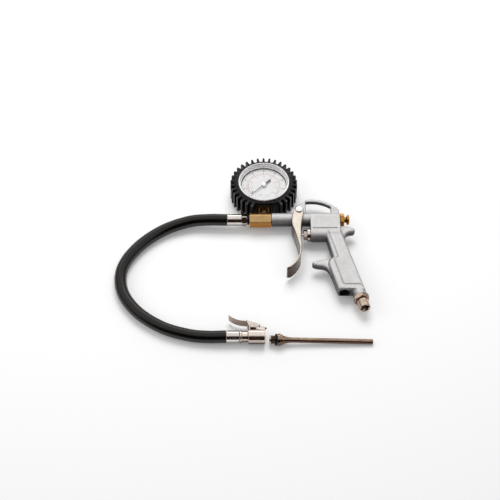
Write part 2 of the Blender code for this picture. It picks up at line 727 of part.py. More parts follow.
def gun_cutters():
    """Return the bores of the casting: airways, chambers, threads, pin hole and handle core."""
    spigot_end = TEE_RIGHT_X + FIT_GAP - SPIGOT_LENGTH
    over = 1.0 * MM
    cross_x = valve_seat_x() - FIT_GAP - CROSS_PASSAGE_RADIUS
    thread_start = INLET_NIPPLE_LENGTH + INLET_HEX_LENGTH
    thread_top = thread_start + FIT_GAP + INLET_THREAD_LENGTH + INLET_SEAL_LENGTH + 2 * FIT_GAP
    core_foot = on_gun(HANDLE_FRONT_X + HANDLE_CORE_INSET, HANDLE_BOTTOM_Y) + HANDLE_DOWN * 5 * over
    core_top = core_foot - HANDLE_DOWN * (HANDLE_CORE_DEPTH + 5 * over)
    airway_top = (VALVE_Y - INLET_END_Y) / math.cos(HANDLE_RAKE)
    pin_reach = TRIGGER_HALF_WIDTH + over
    chamber_radius = GLAND_THREAD_RADIUS + FIT_GAP
    deflate_radius = DEFLATE_THREAD_RADIUS + FIT_GAP
    return [
        rod("cross_passage", CROSS_PASSAGE_RADIUS, on_gun(cross_x, VALVE_Y + over),
            on_gun(cross_x, BARREL_Y - over), sides=16),
        rod("barrel_bore", BARREL_BORE_RADIUS, on_gun(spigot_end - over, BARREL_Y),
            on_gun(DEFLATE_CHAMBER_X + over, BARREL_Y)),
        rod("deflate_chamber", deflate_radius, on_gun(DEFLATE_CHAMBER_X, BARREL_Y),
            on_gun(HEAD_REAR_X + over, BARREL_Y)),
        rod("inlet_airway", AIRWAY_RADIUS, inlet_point(thread_start), inlet_point(airway_top)),
        rod("inlet_thread", INLET_THREAD_RADIUS + FIT_GAP, inlet_point(thread_start - over),
            inlet_point(thread_top)),
        rod("pin_hole", PIN_RADIUS + FIT_GAP, on_gun(PIVOT_X, PIVOT_Y, -pin_reach),
            on_gun(PIVOT_X, PIVOT_Y, pin_reach)),
        rod("handle_core", HANDLE_CORE_RADIUS, core_foot, core_top),
        rod("valve_chamber", chamber_radius, on_gun(HEAD_FRONT_X - over, VALVE_Y),
            on_gun(VALVE_CHAMBER_END_X, VALVE_Y)),
    ]


def valve_seat_x():
    """Return the front face of the valve seat, behind the gland and the cross passage."""
    return (HEAD_FRONT_X + GLAND_THREAD_LENGTH + 2 * CROSS_PASSAGE_RADIUS + 4 * FIT_GAP)


def make_gun_body():
    body = plate("gun_body", [handle_outline()], on_gun(0.0, 0.0), HANDLE_HALF_THICKNESS,
                 cast_aluminium(), edge_radius=HANDLE_EDGE_RADIUS)
    depth = 30.0 * MM
    foot = block("handle_foot_cut",
                 on_gun(HANDLE_FRONT_X - depth, HANDLE_BOTTOM_Y - depth, -depth),
                 on_gun(HANDLE_REAR_X + depth, HANDLE_BOTTOM_Y, depth))
    cut(body, foot)
    join(body, *gun_blanks())
    cut(body, *gun_cutters())
    return weld(body)


# ============================================================================================
# Trigger
# ============================================================================================


def trigger_front():
    """Return the trigger's front edge in side view, top to tip, relative to the pivot."""
    return [
        (-5.8 * MM, 0.5 * MM), (-7.7 * MM, -6.1 * MM), (-8.9 * MM, -13.4 * MM),
        (-8.9 * MM, -22.3 * MM), (-6.9 * MM, -29.4 * MM), (-4.7 * MM, -38.0 * MM),
        (-2.4 * MM, -48.0 * MM), (-0.9 * MM, -56.0 * MM), (-0.8 * MM, -62.0 * MM),
        (-2.0 * MM, -69.2 * MM), (-4.1 * MM, -74.4 * MM), (-7.2 * MM, -79.4 * MM),
        (-11.6 * MM, -84.2 * MM), (-16.4 * MM, -87.6 * MM),
    ]


def trigger_rear():
    """Return the rear edge of the trigger's side plates, top to tip, relative to the pivot."""
    return [
        (5.8 * MM, -1.0 * MM), (4.6 * MM, -8.7 * MM), (2.9 * MM, -17.8 * MM),
        (1.9 * MM, -27.0 * MM), (1.4 * MM, -44.0 * MM), (1.8 * MM, -55.5 * MM),
        (1.6 * MM, -62.0 * MM), (0.2 * MM, -69.2 * MM), (-2.0 * MM, -74.8 * MM),
        (-5.2 * MM, -80.4 * MM), (-10.1 * MM, -85.8 * MM), (-15.4 * MM, -89.6 * MM),
    ]


def shifted(points, dx, dy):
    return [(x + dx, y + dy) for x, y in points]


def inside_edge(points, inset):
    """Return points moved square to their line, towards the trigger's open side."""
    moved = []
    for i, (x, y) in enumerate(points):
        before = points[max(i - 1, 0)]
        after = points[min(i + 1, len(points) - 1)]
        along = Vector((after[0] - before[0], after[1] - before[1])).normalized()
        moved.append((x - along.y * inset, y + along.x * inset))
    return moved


def trigger_blank_outline():
    """Return the side view of the whole trigger round its pivot."""
    top = arc((0.0, 0.0), 6.0 * MM, 150, 30, 6)
    outline = list(reversed(trigger_front())) + top + trigger_rear()
    return shifted(outline, PIVOT_X, PIVOT_Y)


def trigger_channel_outline():
    """Return the space inside the folded sheet: open at the top and towards the handle."""
    web_top = TRIGGER_WEB_TOP_Y - PIVOT_Y
    front = [point for point in trigger_front() if point[1] < web_top]
    last = front.index((-7.2 * MM, -79.4 * MM))
    inner = inside_edge(front[: last + 1], TRIGGER_SHEET)
    reach = 30.0 * MM
    inner = [(inner[0][0], web_top)] + inner
    outline = inner + [(reach, inner[-1][1]), (reach, reach), (-reach, reach), (-reach, web_top)]
    return shifted(outline, PIVOT_X, PIVOT_Y)


def trigger_tip_outline():
    """Return the front view of the trigger, with its lower corners rounded."""
    top = PIVOT_Y + 2 * TRIGGER_TIP_RADIUS
    bottom = PIVOT_Y - 89.8 * MM
    half = TRIGGER_HALF_WIDTH
    low = bottom + TRIGGER_TIP_RADIUS
    left = arc((low, -half + TRIGGER_TIP_RADIUS), TRIGGER_TIP_RADIUS, 270, 180, 5)
    right = arc((low, half - TRIGGER_TIP_RADIUS), TRIGGER_TIP_RADIUS, 180, 90, 5)
    return [(top, -half - MM)] + [(low, -half - MM)] + left + right + [(low, half + MM), (top, half + MM)]


def make_trigger():
    mid = on_gun(0.0, 0.0)
    trigger = plate("trigger", [trigger_blank_outline()], mid, TRIGGER_HALF_WIDTH,
                    nickel_plate(), edge_radius=0.4 * MM)
    channel = plate("trigger_channel", [trigger_channel_outline()], mid,
                    TRIGGER_HALF_WIDTH - TRIGGER_SHEET)
    tip = bar_along_x("trigger_tip", trigger_tip_outline(), 0.0, 2 * PIVOT_X)
    reach = TRIGGER_HALF_WIDTH + MM
    hole = rod("trigger_pin_hole", PIN_RADIUS + FIT_GAP, on_gun(PIVOT_X, PIVOT_Y, -reach),
               on_gun(PIVOT_X, PIVOT_Y, reach))
    cut(trigger, channel, hole)
    combine(trigger, tip, "INTERSECT")
    return trigger


def make_trigger_pin():
    top = TRIGGER_HALF_WIDTH + FIT_GAP
    bottom = -TRIGGER_HALF_WIDTH - FIT_GAP - CLIP_THICKNESS - PIN_TAIL
    profile = [
        (0.0, top + PIN_HEAD_HEIGHT),
        (PIN_HEAD_RADIUS * 0.8, top + PIN_HEAD_HEIGHT),
        (PIN_HEAD_RADIUS, top + PIN_HEAD_HEIGHT * 0.5),
        (PIN_HEAD_RADIUS, top),
        (PIN_RADIUS, top),
        (PIN_RADIUS, bottom),
        (0.0, bottom),
    ]
    return turned("trigger_pin", profile, on_gun(PIVOT_X, PIVOT_Y), Z_AXIS, nickel_plate())


def make_pin_clip():
    top = -TRIGGER_HALF_WIDTH - FIT_GAP
    profile = ring_profile(PIN_RADIUS + FIT_GAP, CLIP_RADIUS, top - CLIP_THICKNESS, top)
    return turned("trigger_pin_clip", profile, on_gun(PIVOT_X, PIVOT_Y), Z_AXIS, spring_steel())


# ============================================================================================
# Trigger valve, seen from its front: height 0 is the gun's origin along X
# ============================================================================================


def make_valve_gland():
    shoulder = HEAD_FRONT_X - FIT_GAP
    thread_end = shoulder + FIT_GAP + GLAND_THREAD_LENGTH
    profile = [
        (0.0, thread_end),
        (GLAND_THREAD_RADIUS, thread_end),
        (GLAND_THREAD_RADIUS, shoulder),
        (GLAND_FLANGE_RADIUS, shoulder),
        (GLAND_FLANGE_RADIUS, GLAND_FLANGE_X),
        (0.0, GLAND_FLANGE_X),
    ]
    gland = turned("valve_gland", profile, on_gun(0.0, VALVE_Y), X_AXIS, nickel_plate())
    hexagon_part = hexagon_bar("gland_hexagon", GLAND_HEX_FLATS, on_gun(GLAND_FRONT_X, VALVE_Y),
                               on_gun(GLAND_FLANGE_X + FIT_GAP, VALVE_Y))
    bore = rod("gland_bore", STEM_RADIUS + FIT_GAP, on_gun(GLAND_FRONT_X - MM, VALVE_Y),
               on_gun(thread_end + MM, VALVE_Y), sides=16)
    packing_start = thread_end - PACKING_LENGTH - FIT_GAP
    seat = rod("packing_seat", PACKING_RADIUS + FIT_GAP, on_gun(packing_start, VALVE_Y),
               on_gun(thread_end + MM, VALVE_Y), sides=16)
    join(gland, hexagon_part)
    return cut(gland, bore, seat)


def make_gland_packing():
    end = HEAD_FRONT_X + GLAND_THREAD_LENGTH
    profile = ring_profile(STEM_RADIUS + FIT_GAP, PACKING_RADIUS, end - PACKING_LENGTH, end)
    return turned("gland_packing", profile, on_gun(0.0, VALVE_Y), X_AXIS, black_rubber(), 16)


def make_valve_seat():
    start = valve_seat_x()
    profile = ring_profile(SEAT_BORE_RADIUS, GLAND_THREAD_RADIUS, start, start + SEAT_LENGTH)
    return turned("valve_seat", profile, on_gun(0.0, VALVE_Y), X_AXIS, brass())


def poppet_x():
    """Return the poppet's front face, just behind its seat."""
    return valve_seat_x() + SEAT_LENGTH + FIT_GAP


def make_valve_stem():
    """A push rod with a domed tip, from the trigger's web to the poppet."""
    end = poppet_x() - FIT_GAP
    dome = [(STEM_RADIUS * math.cos(a), STEM_TIP_X + STEM_RADIUS * (1 - math.sin(a)))
            for a in (0.0, math.pi / 6, math.pi / 3, math.pi / 2)]
    dome[-1] = (0.0, STEM_TIP_X)
    profile = [(0.0, end), (STEM_RADIUS, end)] + dome
    return turned("valve_stem", profile, on_gun(0.0, VALVE_Y), X_AXIS, nickel_plate(), 16)


def make_valve_poppet():
    start = poppet_x()
    end = start + POPPET_LENGTH
    profile = [
        (0.0, end),
        (POPPET_RADIUS * 0.6, end),
        (POPPET_RADIUS, end - POPPET_LENGTH * 0.3),
        (POPPET_RADIUS, start),
        (0.0, start),
    ]
    return turned("valve_poppet", profile, on_gun(0.0, VALVE_Y), X_AXIS, black_rubber())


def make_valve_spring():
    start = poppet_x() + POPPET_LENGTH + FIT_GAP + SPRING_WIRE_RADIUS
    end = VALVE_CHAMBER_END_X - FIT_GAP - SPRING_WIRE_RADIUS
    helix = coil(VALVE_SPRING_RADIUS, start, end, VALVE_SPRING_TURNS)
    print_coil_gap("valve_spring", end - start, VALVE_SPRING_TURNS, SPRING_WIRE_RADIUS)
    path = [on_gun(p.z, VALVE_Y + p.x, p.y) for p in helix]
    return tube("valve_spring", path, SPRING_WIRE_RADIUS, spring_steel())


# ============================================================================================
# Deflate button
# ============================================================================================


def gland_inner_x():
    """Return the inner end of the deflate gland, on which the seal closes."""
    return HEAD_REAR_X + FIT_GAP - DEFLATE_THREAD_LENGTH


def button_x():
    """Return the front face of the button's head at rest."""
    return HEAD_REAR_X + FIT_GAP + DEFLATE_HEX_LENGTH + BUTTON_STANDOFF


def spring_pocket_x():
    """Return the bottom of the pocket that holds the deflate spring."""
    return button_x() - BUTTON_STANDOFF - DEFLATE_HEX_LENGTH - 4.0 * MM


def make_deflate_gland():
    face = HEAD_REAR_X + FIT_GAP
    outer = face + DEFLATE_HEX_LENGTH
    gland = hexagon_bar("deflate_gland", DEFLATE_HEX_FLATS, on_gun(face, BARREL_Y),
                        on_gun(outer, BARREL_Y), brass())
    thread = rod("deflate_thread", DEFLATE_THREAD_RADIUS, on_gun(gland_inner_x(), BARREL_Y),
                 on_gun(face + FIT_GAP, BARREL_Y))
    bore = rod("deflate_bore", BUTTON_STEM_RADIUS + RUN_GAP,
               on_gun(gland_inner_x() - MM, BARREL_Y), on_gun(outer + MM, BARREL_Y), sides=16)
    pocket = rod("deflate_pocket", BUTTON_WAIST_RADIUS + RUN_GAP,
                 on_gun(spring_pocket_x(), BARREL_Y), on_gun(outer + MM, BARREL_Y))
    join(gland, thread)
    return cut(gland, bore, pocket)


def make_deflate_button():
    head = button_x()
    tail = gland_inner_x() - FIT_GAP - DEFLATE_SEAL_LENGTH - FIT_GAP
    crown = head + BUTTON_LENGTH
    profile = [
        (0.0, crown),
        (BUTTON_RADIUS * 0.84, crown),
        (BUTTON_RADIUS, crown - BUTTON_LENGTH * 0.35),
        (BUTTON_RADIUS, head + BUTTON_LENGTH * 0.2),
        (BUTTON_RADIUS * 0.86, head),
        (BUTTON_WAIST_RADIUS, head - BUTTON_FLARE),
        (BUTTON_WAIST_RADIUS, head - BUTTON_WAIST_LENGTH),
        (BUTTON_STEM_RADIUS, head - BUTTON_WAIST_LENGTH),
        (BUTTON_STEM_RADIUS, tail),
        (BUTTON_STEM_RADIUS * 1.8, tail),
        (BUTTON_STEM_RADIUS * 1.8, tail - MM),
        (0.0, tail - MM),
    ]
    return turned("deflate_button", profile, on_gun(0.0, BARREL_Y), X_AXIS, brass())


def make_deflate_seal():
    end = gland_inner_x() - FIT_GAP
    profile = ring_profile(BUTTON_STEM_RADIUS + FIT_GAP, DEFLATE_SEAL_RADIUS,
                           end - DEFLATE_SEAL_LENGTH, end)
    return turned("deflate_seal", profile, on_gun(0.0, BARREL_Y), X_AXIS, black_rubber())


def make_deflate_spring():
    start = spring_pocket_x() + FIT_GAP + SMALL_WIRE_RADIUS
    end = button_x() - BUTTON_WAIST_LENGTH - FIT_GAP - SMALL_WIRE_RADIUS
    helix = coil(DEFLATE_SPRING_RADIUS, start, end, DEFLATE_SPRING_TURNS)
    print_coil_gap("deflate_spring", end - start, DEFLATE_SPRING_TURNS, SMALL_WIRE_RADIUS)
    path = [on_gun(p.z, BARREL_Y + p.x, p.y) for p in helix]
    return tube("deflate_spring", path, SMALL_WIRE_RADIUS, spring_steel())


# ============================================================================================
# Air inlet
# ============================================================================================


def make_inlet_connector():
    """The male nipple that the supply line pushes or screws on to."""
    hex_foot = INLET_NIPPLE_LENGTH
    hex_top = hex_foot + INLET_HEX_LENGTH
    thread_top = hex_top + FIT_GAP + INLET_THREAD_LENGTH
    connector = hexagon_bar("inlet_connector", INLET_HEX_FLATS, inlet_point(hex_foot),
                            inlet_point(hex_top), nickel_plate())
    nipple = rod("inlet_nipple", INLET_NIPPLE_RADIUS, inlet_point(0.0),
                 inlet_point(hex_foot + FIT_GAP), sides=32)
    thread = rod("inlet_shank", INLET_THREAD_RADIUS, inlet_point(hex_top - FIT_GAP),
                 inlet_point(thread_top))
    mouth = rod("inlet_mouth", INLET_BORE_RADIUS, inlet_point(-MM), inlet_point(hex_foot))
    airway = rod("inlet_bore", AIRWAY_RADIUS, inlet_point(-MM), inlet_point(thread_top + MM))
    join(connector, nipple, thread)
    return cut(connector, mouth, airway)


def make_inlet_seal():
    bottom = INLET_NIPPLE_LENGTH + INLET_HEX_LENGTH + INLET_THREAD_LENGTH + 2 * FIT_GAP
    profile = ring_profile(AIRWAY_RADIUS, INLET_THREAD_RADIUS, 0.0, INLET_SEAL_LENGTH)
    return turned("inlet_seal", profile, inlet_point(bottom), -HANDLE_DOWN, black_rubber())


# ============================================================================================
# Tee and hose ends
# ============================================================================================


def tee_top_y():
    return BARREL_Y + TEE_FLATS / 2


def make_tee():
    tee = hexagon_bar("tee_block", TEE_FLATS, on_gun(TEE_LEFT_X, BARREL_Y),
                      on_gun(TEE_RIGHT_X, BARREL_Y), brass())
    over = MM
    bore = rod("tee_bore", TEE_BORE_RADIUS, on_gun(TEE_LEFT_X - over, BARREL_Y),
               on_gun(TEE_RIGHT_X + over, BARREL_Y))
    left = rod("tee_left_thread", SPIGOT_RADIUS + FIT_GAP, on_gun(TEE_LEFT_X - over, BARREL_Y),
               on_gun(TEE_LEFT_X + STEM_THREAD_LENGTH, BARREL_Y))
    right = rod("tee_right_thread", SPIGOT_RADIUS + FIT_GAP,
                on_gun(TEE_RIGHT_X - SPIGOT_LENGTH, BARREL_Y), on_gun(TEE_RIGHT_X + over, BARREL_Y))
    port = rod("tee_port", SOCKET_NECK_RADIUS + FIT_GAP, on_gun(0.0, BARREL_Y),
               on_gun(0.0, tee_top_y() + over))
    return cut(tee, bore, left, right, port)


def stem_hex_left_x():
    return TEE_LEFT_X - STEM_NECK_LENGTH - STEM_HEX_LENGTH


def make_gun_stem():
    """The threaded hose stem in the tee, with a hexagon and a tail inside the ferrule."""
    hex_left = stem_hex_left_x()
    hex_right = hex_left + STEM_HEX_LENGTH
    stem = hexagon_bar("hose_stem_gun", STEM_HEX_FLATS, on_gun(hex_left, BARREL_Y),
                       on_gun(hex_right, BARREL_Y), bright_steel())
    tail_left = GUN_FERRULE_LEFT_X + FIT_GAP
    tail = rod("gun_stem_tail", FERRULE_BORE_RADIUS - FIT_GAP, on_gun(tail_left, BARREL_Y),
               on_gun(hex_left + FIT_GAP, BARREL_Y))
    neck = rod("gun_stem_neck", STEM_NECK_RADIUS, on_gun(hex_right - FIT_GAP, BARREL_Y),
               on_gun(TEE_LEFT_X + 2 * FIT_GAP, BARREL_Y))
    thread = rod("gun_stem_thread", SPIGOT_RADIUS, on_gun(TEE_LEFT_X + FIT_GAP, BARREL_Y),
                 on_gun(TEE_LEFT_X + STEM_THREAD_LENGTH - FIT_GAP, BARREL_Y))
    bore = rod("gun_stem_bore", STEM_BORE_RADIUS, on_gun(tail_left - MM, BARREL_Y),
               on_gun(TEE_LEFT_X + STEM_THREAD_LENGTH + MM, BARREL_Y), sides=16)
    join(stem, tail, neck, thread)
    return cut(stem, bore)


def make_stem_seal():
    left = TEE_LEFT_X - STEM_NECK_LENGTH + FIT_GAP
    profile = ring_profile(STEM_NECK_RADIUS + FIT_GAP, STEM_SEAL_RADIUS, left, TEE_LEFT_X - FIT_GAP)
    return turned("hose_stem_seal", profile, on_gun(0.0, BARREL_Y), X_AXIS, black_rubber())


def ferrule(name, length, location):
    """A crimped sleeve with a rolled lip at its hose end, at height 0."""
    lip = 1.0 * MM
    profile = [
        (FERRULE_RADIUS, length),
        (FERRULE_RADIUS, lip),
        (FERRULE_RADIUS - lip * 0.4, 0.0),
        (FERRULE_BORE_RADIUS, 0.0),
        (FERRULE_BORE_RADIUS, length),
    ]
    return turned(name, profile, location, X_AXIS, bright_steel())


def make_gun_ferrule():
    length = stem_hex_left_x() - FIT_GAP - GUN_FERRULE_LEFT_X
    return ferrule("hose_ferrule_gun", length, on_gun(GUN_FERRULE_LEFT_X, BARREL_Y))


def chuck_left_x():
    """Return the left face of the chuck's body."""
    return CHUCK_END_X - CHUCK_LENGTH


def bead_left_x():
    return chuck_left_x() - FIT_GAP - CHUCK_NECK_LENGTH - CHUCK_BEAD_LENGTH


def chuck_ferrule_x():
    """Return the hose end of the chuck's ferrule."""
    return bead_left_x() - FIT_GAP - CHUCK_FERRULE_LENGTH


def on_chuck(x, y=0.0, z=0.0):
    """Return a point relative to the chuck's axis."""
    return Vector((x, CHUCK_Y + y, CHUCK_Z + z))


def make_chuck_ferrule():
    return ferrule("hose_ferrule_chuck", CHUCK_FERRULE_LENGTH, on_chuck(chuck_ferrule_x()))


def smooth_route(points, spacing):
    """Return points about a spacing apart along a smooth curve through the given points.

    The curve is a cubic through each pair of points, with its slopes taken from the neighbours.
    """
    dense = []
    steps = 24
    slopes = []
    for i in range(len(points)):
        before = points[max(i - 1, 0)]
        after = points[min(i + 1, len(points) - 1)]
        slopes.append((after - before) / 2)
    slopes[0] = Vector((-slopes[0].length * 2, 0.0, 0.0))
    slopes[-1] = Vector((slopes[-1].length * 2, 0.0, 0.0))
    for i in range(len(points) - 1):
        for k in range(steps):
            t = k / steps
            a = 2 * t**3 - 3 * t**2 + 1
            b = t**3 - 2 * t**2 + t
            c = -2 * t**3 + 3 * t**2
            d = t**3 - t**2
            dense.append(a * points[i] + b * slopes[i] + c * points[i + 1] + d * slopes[i + 1])
    dense.append(points[-1])
    for point in dense:
        point.z = max(point.z, HOSE_RADIUS)
    length = sum((dense[i + 1] - dense[i]).length for i in range(len(dense) - 1))
    count = round(length / spacing)
    path = [dense[0]]
    walked = 0.0
    for i in range(1, len(dense)):
        walked += (dense[i] - dense[i - 1]).length
        if walked >= length * len(path) / count and len(path) < count:
            path.append(dense[i])
    path.append(dense[-1])
    print(f"hose: {length / MM:.1f} mm long")
    return path


def make_hose():
    """The rubber hose from the gun's ferrule, round over the table, to the chuck's ferrule."""
    start = on_gun(GUN_FERRULE_LEFT_X - FIT_GAP, BARREL_Y)
    end = on_chuck(chuck_ferrule_x() - FIT_GAP)
    route = [start] + [Vector(point) for point in HOSE_ROUTE] + [end]
    path = smooth_route(route, HOSE_SPACING * 2 * HOSE_RADIUS)
    path.insert(1, start - X_AXIS * HOSE_LEAD)
    path.insert(-1, end - X_AXIS * HOSE_LEAD)
    return tube("hose", path, HOSE_RADIUS, black_rubber(), sides_level=4)


# ============================================================================================
# Gauge
# ============================================================================================


def rib_outline():
    """Return the boot's outline with its ribs, which leave a plain arc round the socket."""
    pitch = (2 * math.pi - 2 * RIB_FREE_ARC) / (RIB_COUNT - 1)
    root = BOOT_WALL_RADIUS - 0.6 * MM
    points = []
    for i in range(RIB_COUNT):
        angle = -math.pi / 2 + RIB_FREE_ARC + pitch * i
        for radius, side in ((root, -1), (BOOT_RIB_RADIUS, -0.72), (BOOT_RIB_RADIUS, 0.72), (root, 1)):
            turn = angle + side * RIB_WIDTH / 2 / radius
            points.append((radius * math.cos(turn), radius * math.sin(turn)))
    return points


def make_gauge_boot():
    """The ribbed rubber boot, closed at the back, with a window for the brass socket."""
    bore = CASE_RADIUS + FIT_GAP
    mouth = BEZEL_RADIUS + FIT_GAP
    step_z = BEZEL_SKIRT_Z - FIT_GAP
    profile = [
        (mouth, BOOT_LIP_Z),
        (mouth + 1.4 * MM, BOOT_LIP_Z),
        (BOOT_WALL_RADIUS, BOOT_LIP_Z - 1.6 * MM),
        (BOOT_WALL_RADIUS, 1.6 * MM),
        (BOOT_WALL_RADIUS - 1.6 * MM, 0.0),
        (0.0, 0.0),
    ]
    inside = [(0.0, BOOT_BACK), (bore, BOOT_BACK), (bore, step_z), (mouth, step_z)]
    boot = turned("gauge_boot", inside + profile, (0.0, 0.0, 0.0), Z_AXIS, black_rubber(),
                  ROUND_LARGE)
    middle = (BOOT_RIB_BOTTOM_Z + BOOT_RIB_TOP_Z) / 2
    hole = arc((0.0, 0.0), (BOOT_WALL_RADIUS + mouth) / 2 - 0.5 * MM, 0, 360 - 7.5, 47)
    ribs = plate("boot_ribs", [rib_outline(), hole], (0.0, 0.0, middle),
                 (BOOT_RIB_TOP_Z - BOOT_RIB_BOTTOM_Z) / 2)
    window = block("boot_window",
                   on_gun(-WINDOW_HALF_WIDTH, -BOOT_RIB_RADIUS, -WINDOW_HALF_HEIGHT),
                   on_gun(WINDOW_HALF_WIDTH, -CASE_RADIUS * 0.8, WINDOW_HALF_HEIGHT))
    join(boot, ribs)
    return cut(boot, window)


def make_gauge_case():
    """The pressed steel cup that holds the movement."""
    bottom = BOOT_BACK + FIT_GAP
    profile = [
        (0.0, bottom + CASE_WALL),
        (CASE_RADIUS - CASE_WALL, bottom + CASE_WALL),
        (CASE_RADIUS - CASE_WALL, CASE_TOP_Z),
        (CASE_RADIUS, CASE_TOP_Z),
        (CASE_RADIUS, bottom),
        (0.0, bottom),
    ]
    case = turned("gauge_case", profile, (0.0, 0.0, 0.0), Z_AXIS, black_paint(), ROUND_LARGE)
    half = SOCKET_FLATS / 2 + FIT_GAP
    slot = block("case_slot", on_gun(-half, -CASE_RADIUS - MM, -half),
                 on_gun(half, -CASE_RADIUS * 0.8, half))
    return cut(case, slot)


def make_bezel():
    """The bright ring that clamps the lens over the case's rim."""
    inner_skirt = CASE_RADIUS + FIT_GAP
    case_top = CASE_TOP_Z + FIT_GAP
    lens_wall = LENS_RADIUS + FIT_GAP
    profile = [
        (BEZEL_RADIUS - 0.5 * MM, BEZEL_TOP_Z),
        (BEZEL_RADIUS, BEZEL_TOP_Z - 0.6 * MM),
        (BEZEL_RADIUS, BEZEL_SKIRT_Z),
        (inner_skirt, BEZEL_SKIRT_Z),
        (inner_skirt, case_top),
        (BEZEL_SIGHT_RADIUS, case_top),
        (BEZEL_SIGHT_RADIUS, LENS_SEAT_Z),
        (lens_wall, LENS_SEAT_Z),
        (lens_wall, LENS_SEAT_Z + LENS_THICKNESS + FIT_GAP),
        (BEZEL_RADIUS - BEZEL_RIM, BEZEL_TOP_Z - 0.4 * MM),
    ]
    return turned("bezel_ring", profile, (0.0, 0.0, 0.0), Z_AXIS, bright_steel(), ROUND_LARGE)


def make_lens():
    bottom = LENS_SEAT_Z + FIT_GAP
    return rod("gauge_lens", LENS_RADIUS, (0.0, 0.0, bottom), (0.0, 0.0, bottom + LENS_THICKNESS),
               clear_lens(), ROUND_LARGE)


def dial_screw_places():
    return {"left": -DIAL_SCREW_X, "right": DIAL_SCREW_X}


def make_dial():
    """The printed dial plate, with a hole for the arbor and two for its screws."""
    bottom = DIAL_TOP_Z - DIAL_THICKNESS
    dial = rod("dial_plate", DIAL_RADIUS, (0.0, 0.0, bottom), (0.0, 0.0, DIAL_TOP_Z),
               painted_dial(), ROUND_LARGE)
    reach = MM
    cut(dial, rod("dial_centre_hole", ARBOR_RADIUS + RUN_GAP, (0.0, 0.0, bottom - reach),
                  (0.0, 0.0, DIAL_TOP_Z + reach), sides=16))
    for side, x in dial_screw_places().items():
        cut(dial, rod(f"dial_hole_{side}", DIAL_SCREW_RADIUS + FIT_GAP,
                      (x, DIAL_SCREW_Y, bottom - reach), (x, DIAL_SCREW_Y, DIAL_TOP_Z + reach),
                      sides=12))
    return dial


def make_dial_screws():
    """Two small screws that hold the dial on the movement's stand-offs."""
    head = DIAL_TOP_Z + FIT_GAP
    foot = FRONT_PLATE_Z + FIT_GAP
    profile = [
        (0.0, head + DIAL_SCREW_HEAD),
        (DIAL_SCREW_HEAD_RADIUS * 0.7, head + DIAL_SCREW_HEAD),
        (DIAL_SCREW_HEAD_RADIUS, head + DIAL_SCREW_HEAD * 0.4),
        (DIAL_SCREW_HEAD_RADIUS, head),
        (DIAL_SCREW_RADIUS, head),
        (DIAL_SCREW_RADIUS, foot),
        (0.0, foot),
    ]
    for side, x in dial_screw_places().items():
        turned(f"dial_screw_{side}", profile, (x, DIAL_SCREW_Y, 0.0), Z_AXIS, bright_steel(), 12)


def make_socket():
    """The brass socket: a stepped block in the case, its flats and a neck into the tee."""
    half = SOCKET_FLATS / 2
    step_z = FRONT_PLATE_Z - FIT_GAP
    socket = block("gauge_socket", on_gun(-half, SOCKET_FACE_Y, -half),
                   on_gun(half, SOCKET_STEP_Y, half), brass())
    inner = block("socket_inner", Vector((-half, SOCKET_STEP_Y - FIT_GAP, GUN_MID_Z - half)),
                  Vector((half, SOCKET_INNER_Y, step_z)))
    neck_end = tee_top_y() - SOCKET_NECK_DEPTH
    neck = rod("socket_neck", SOCKET_NECK_RADIUS, on_gun(0.0, SOCKET_FACE_Y + FIT_GAP),
               on_gun(0.0, neck_end))
    bore = rod("socket_bore", 1.6 * MM, on_gun(0.0, SOCKET_INNER_Y - 4.0 * MM),
               on_gun(0.0, neck_end - MM), sides=12)
    join(socket, inner, neck)
    return cut(socket, bore)


def make_bourdon_tube():
    """The curved pressure tube, from the socket's side round to its free tip."""
    start_x = -SOCKET_FLATS / 2 - FIT_GAP
    lead = 2 * BOURDON_TUBE_RADIUS
    start_angle = 2 * math.pi - math.acos((start_x - lead) / BOURDON_RADIUS)
    start_y = BOURDON_RADIUS * math.sin(start_angle)
    centre_z = LINK_Z - FIT_GAP - BOURDON_TUBE_RADIUS
    points = [Vector((start_x, start_y, centre_z))]
    steps = 22
    for i in range(steps + 1):
        angle = start_angle + (BOURDON_END_ANGLE - start_angle) * i / steps
        points.append(
            Vector((BOURDON_RADIUS * math.cos(angle), BOURDON_RADIUS * math.sin(angle), centre_z))
        )
    return tube("bourdon_tube", points, BOURDON_TUBE_RADIUS, brass())


def back_plate_top_z():
    return GUN_MID_Z - SOCKET_FLATS / 2 - FIT_GAP


def movement_plate_outline():
    half = PLATE_HALF_WIDTH
    return [(-half, SOCKET_STEP_Y + MM), (half, SOCKET_STEP_Y + MM), (half, PLATE_TOP_Y),
            (-half, PLATE_TOP_Y)]


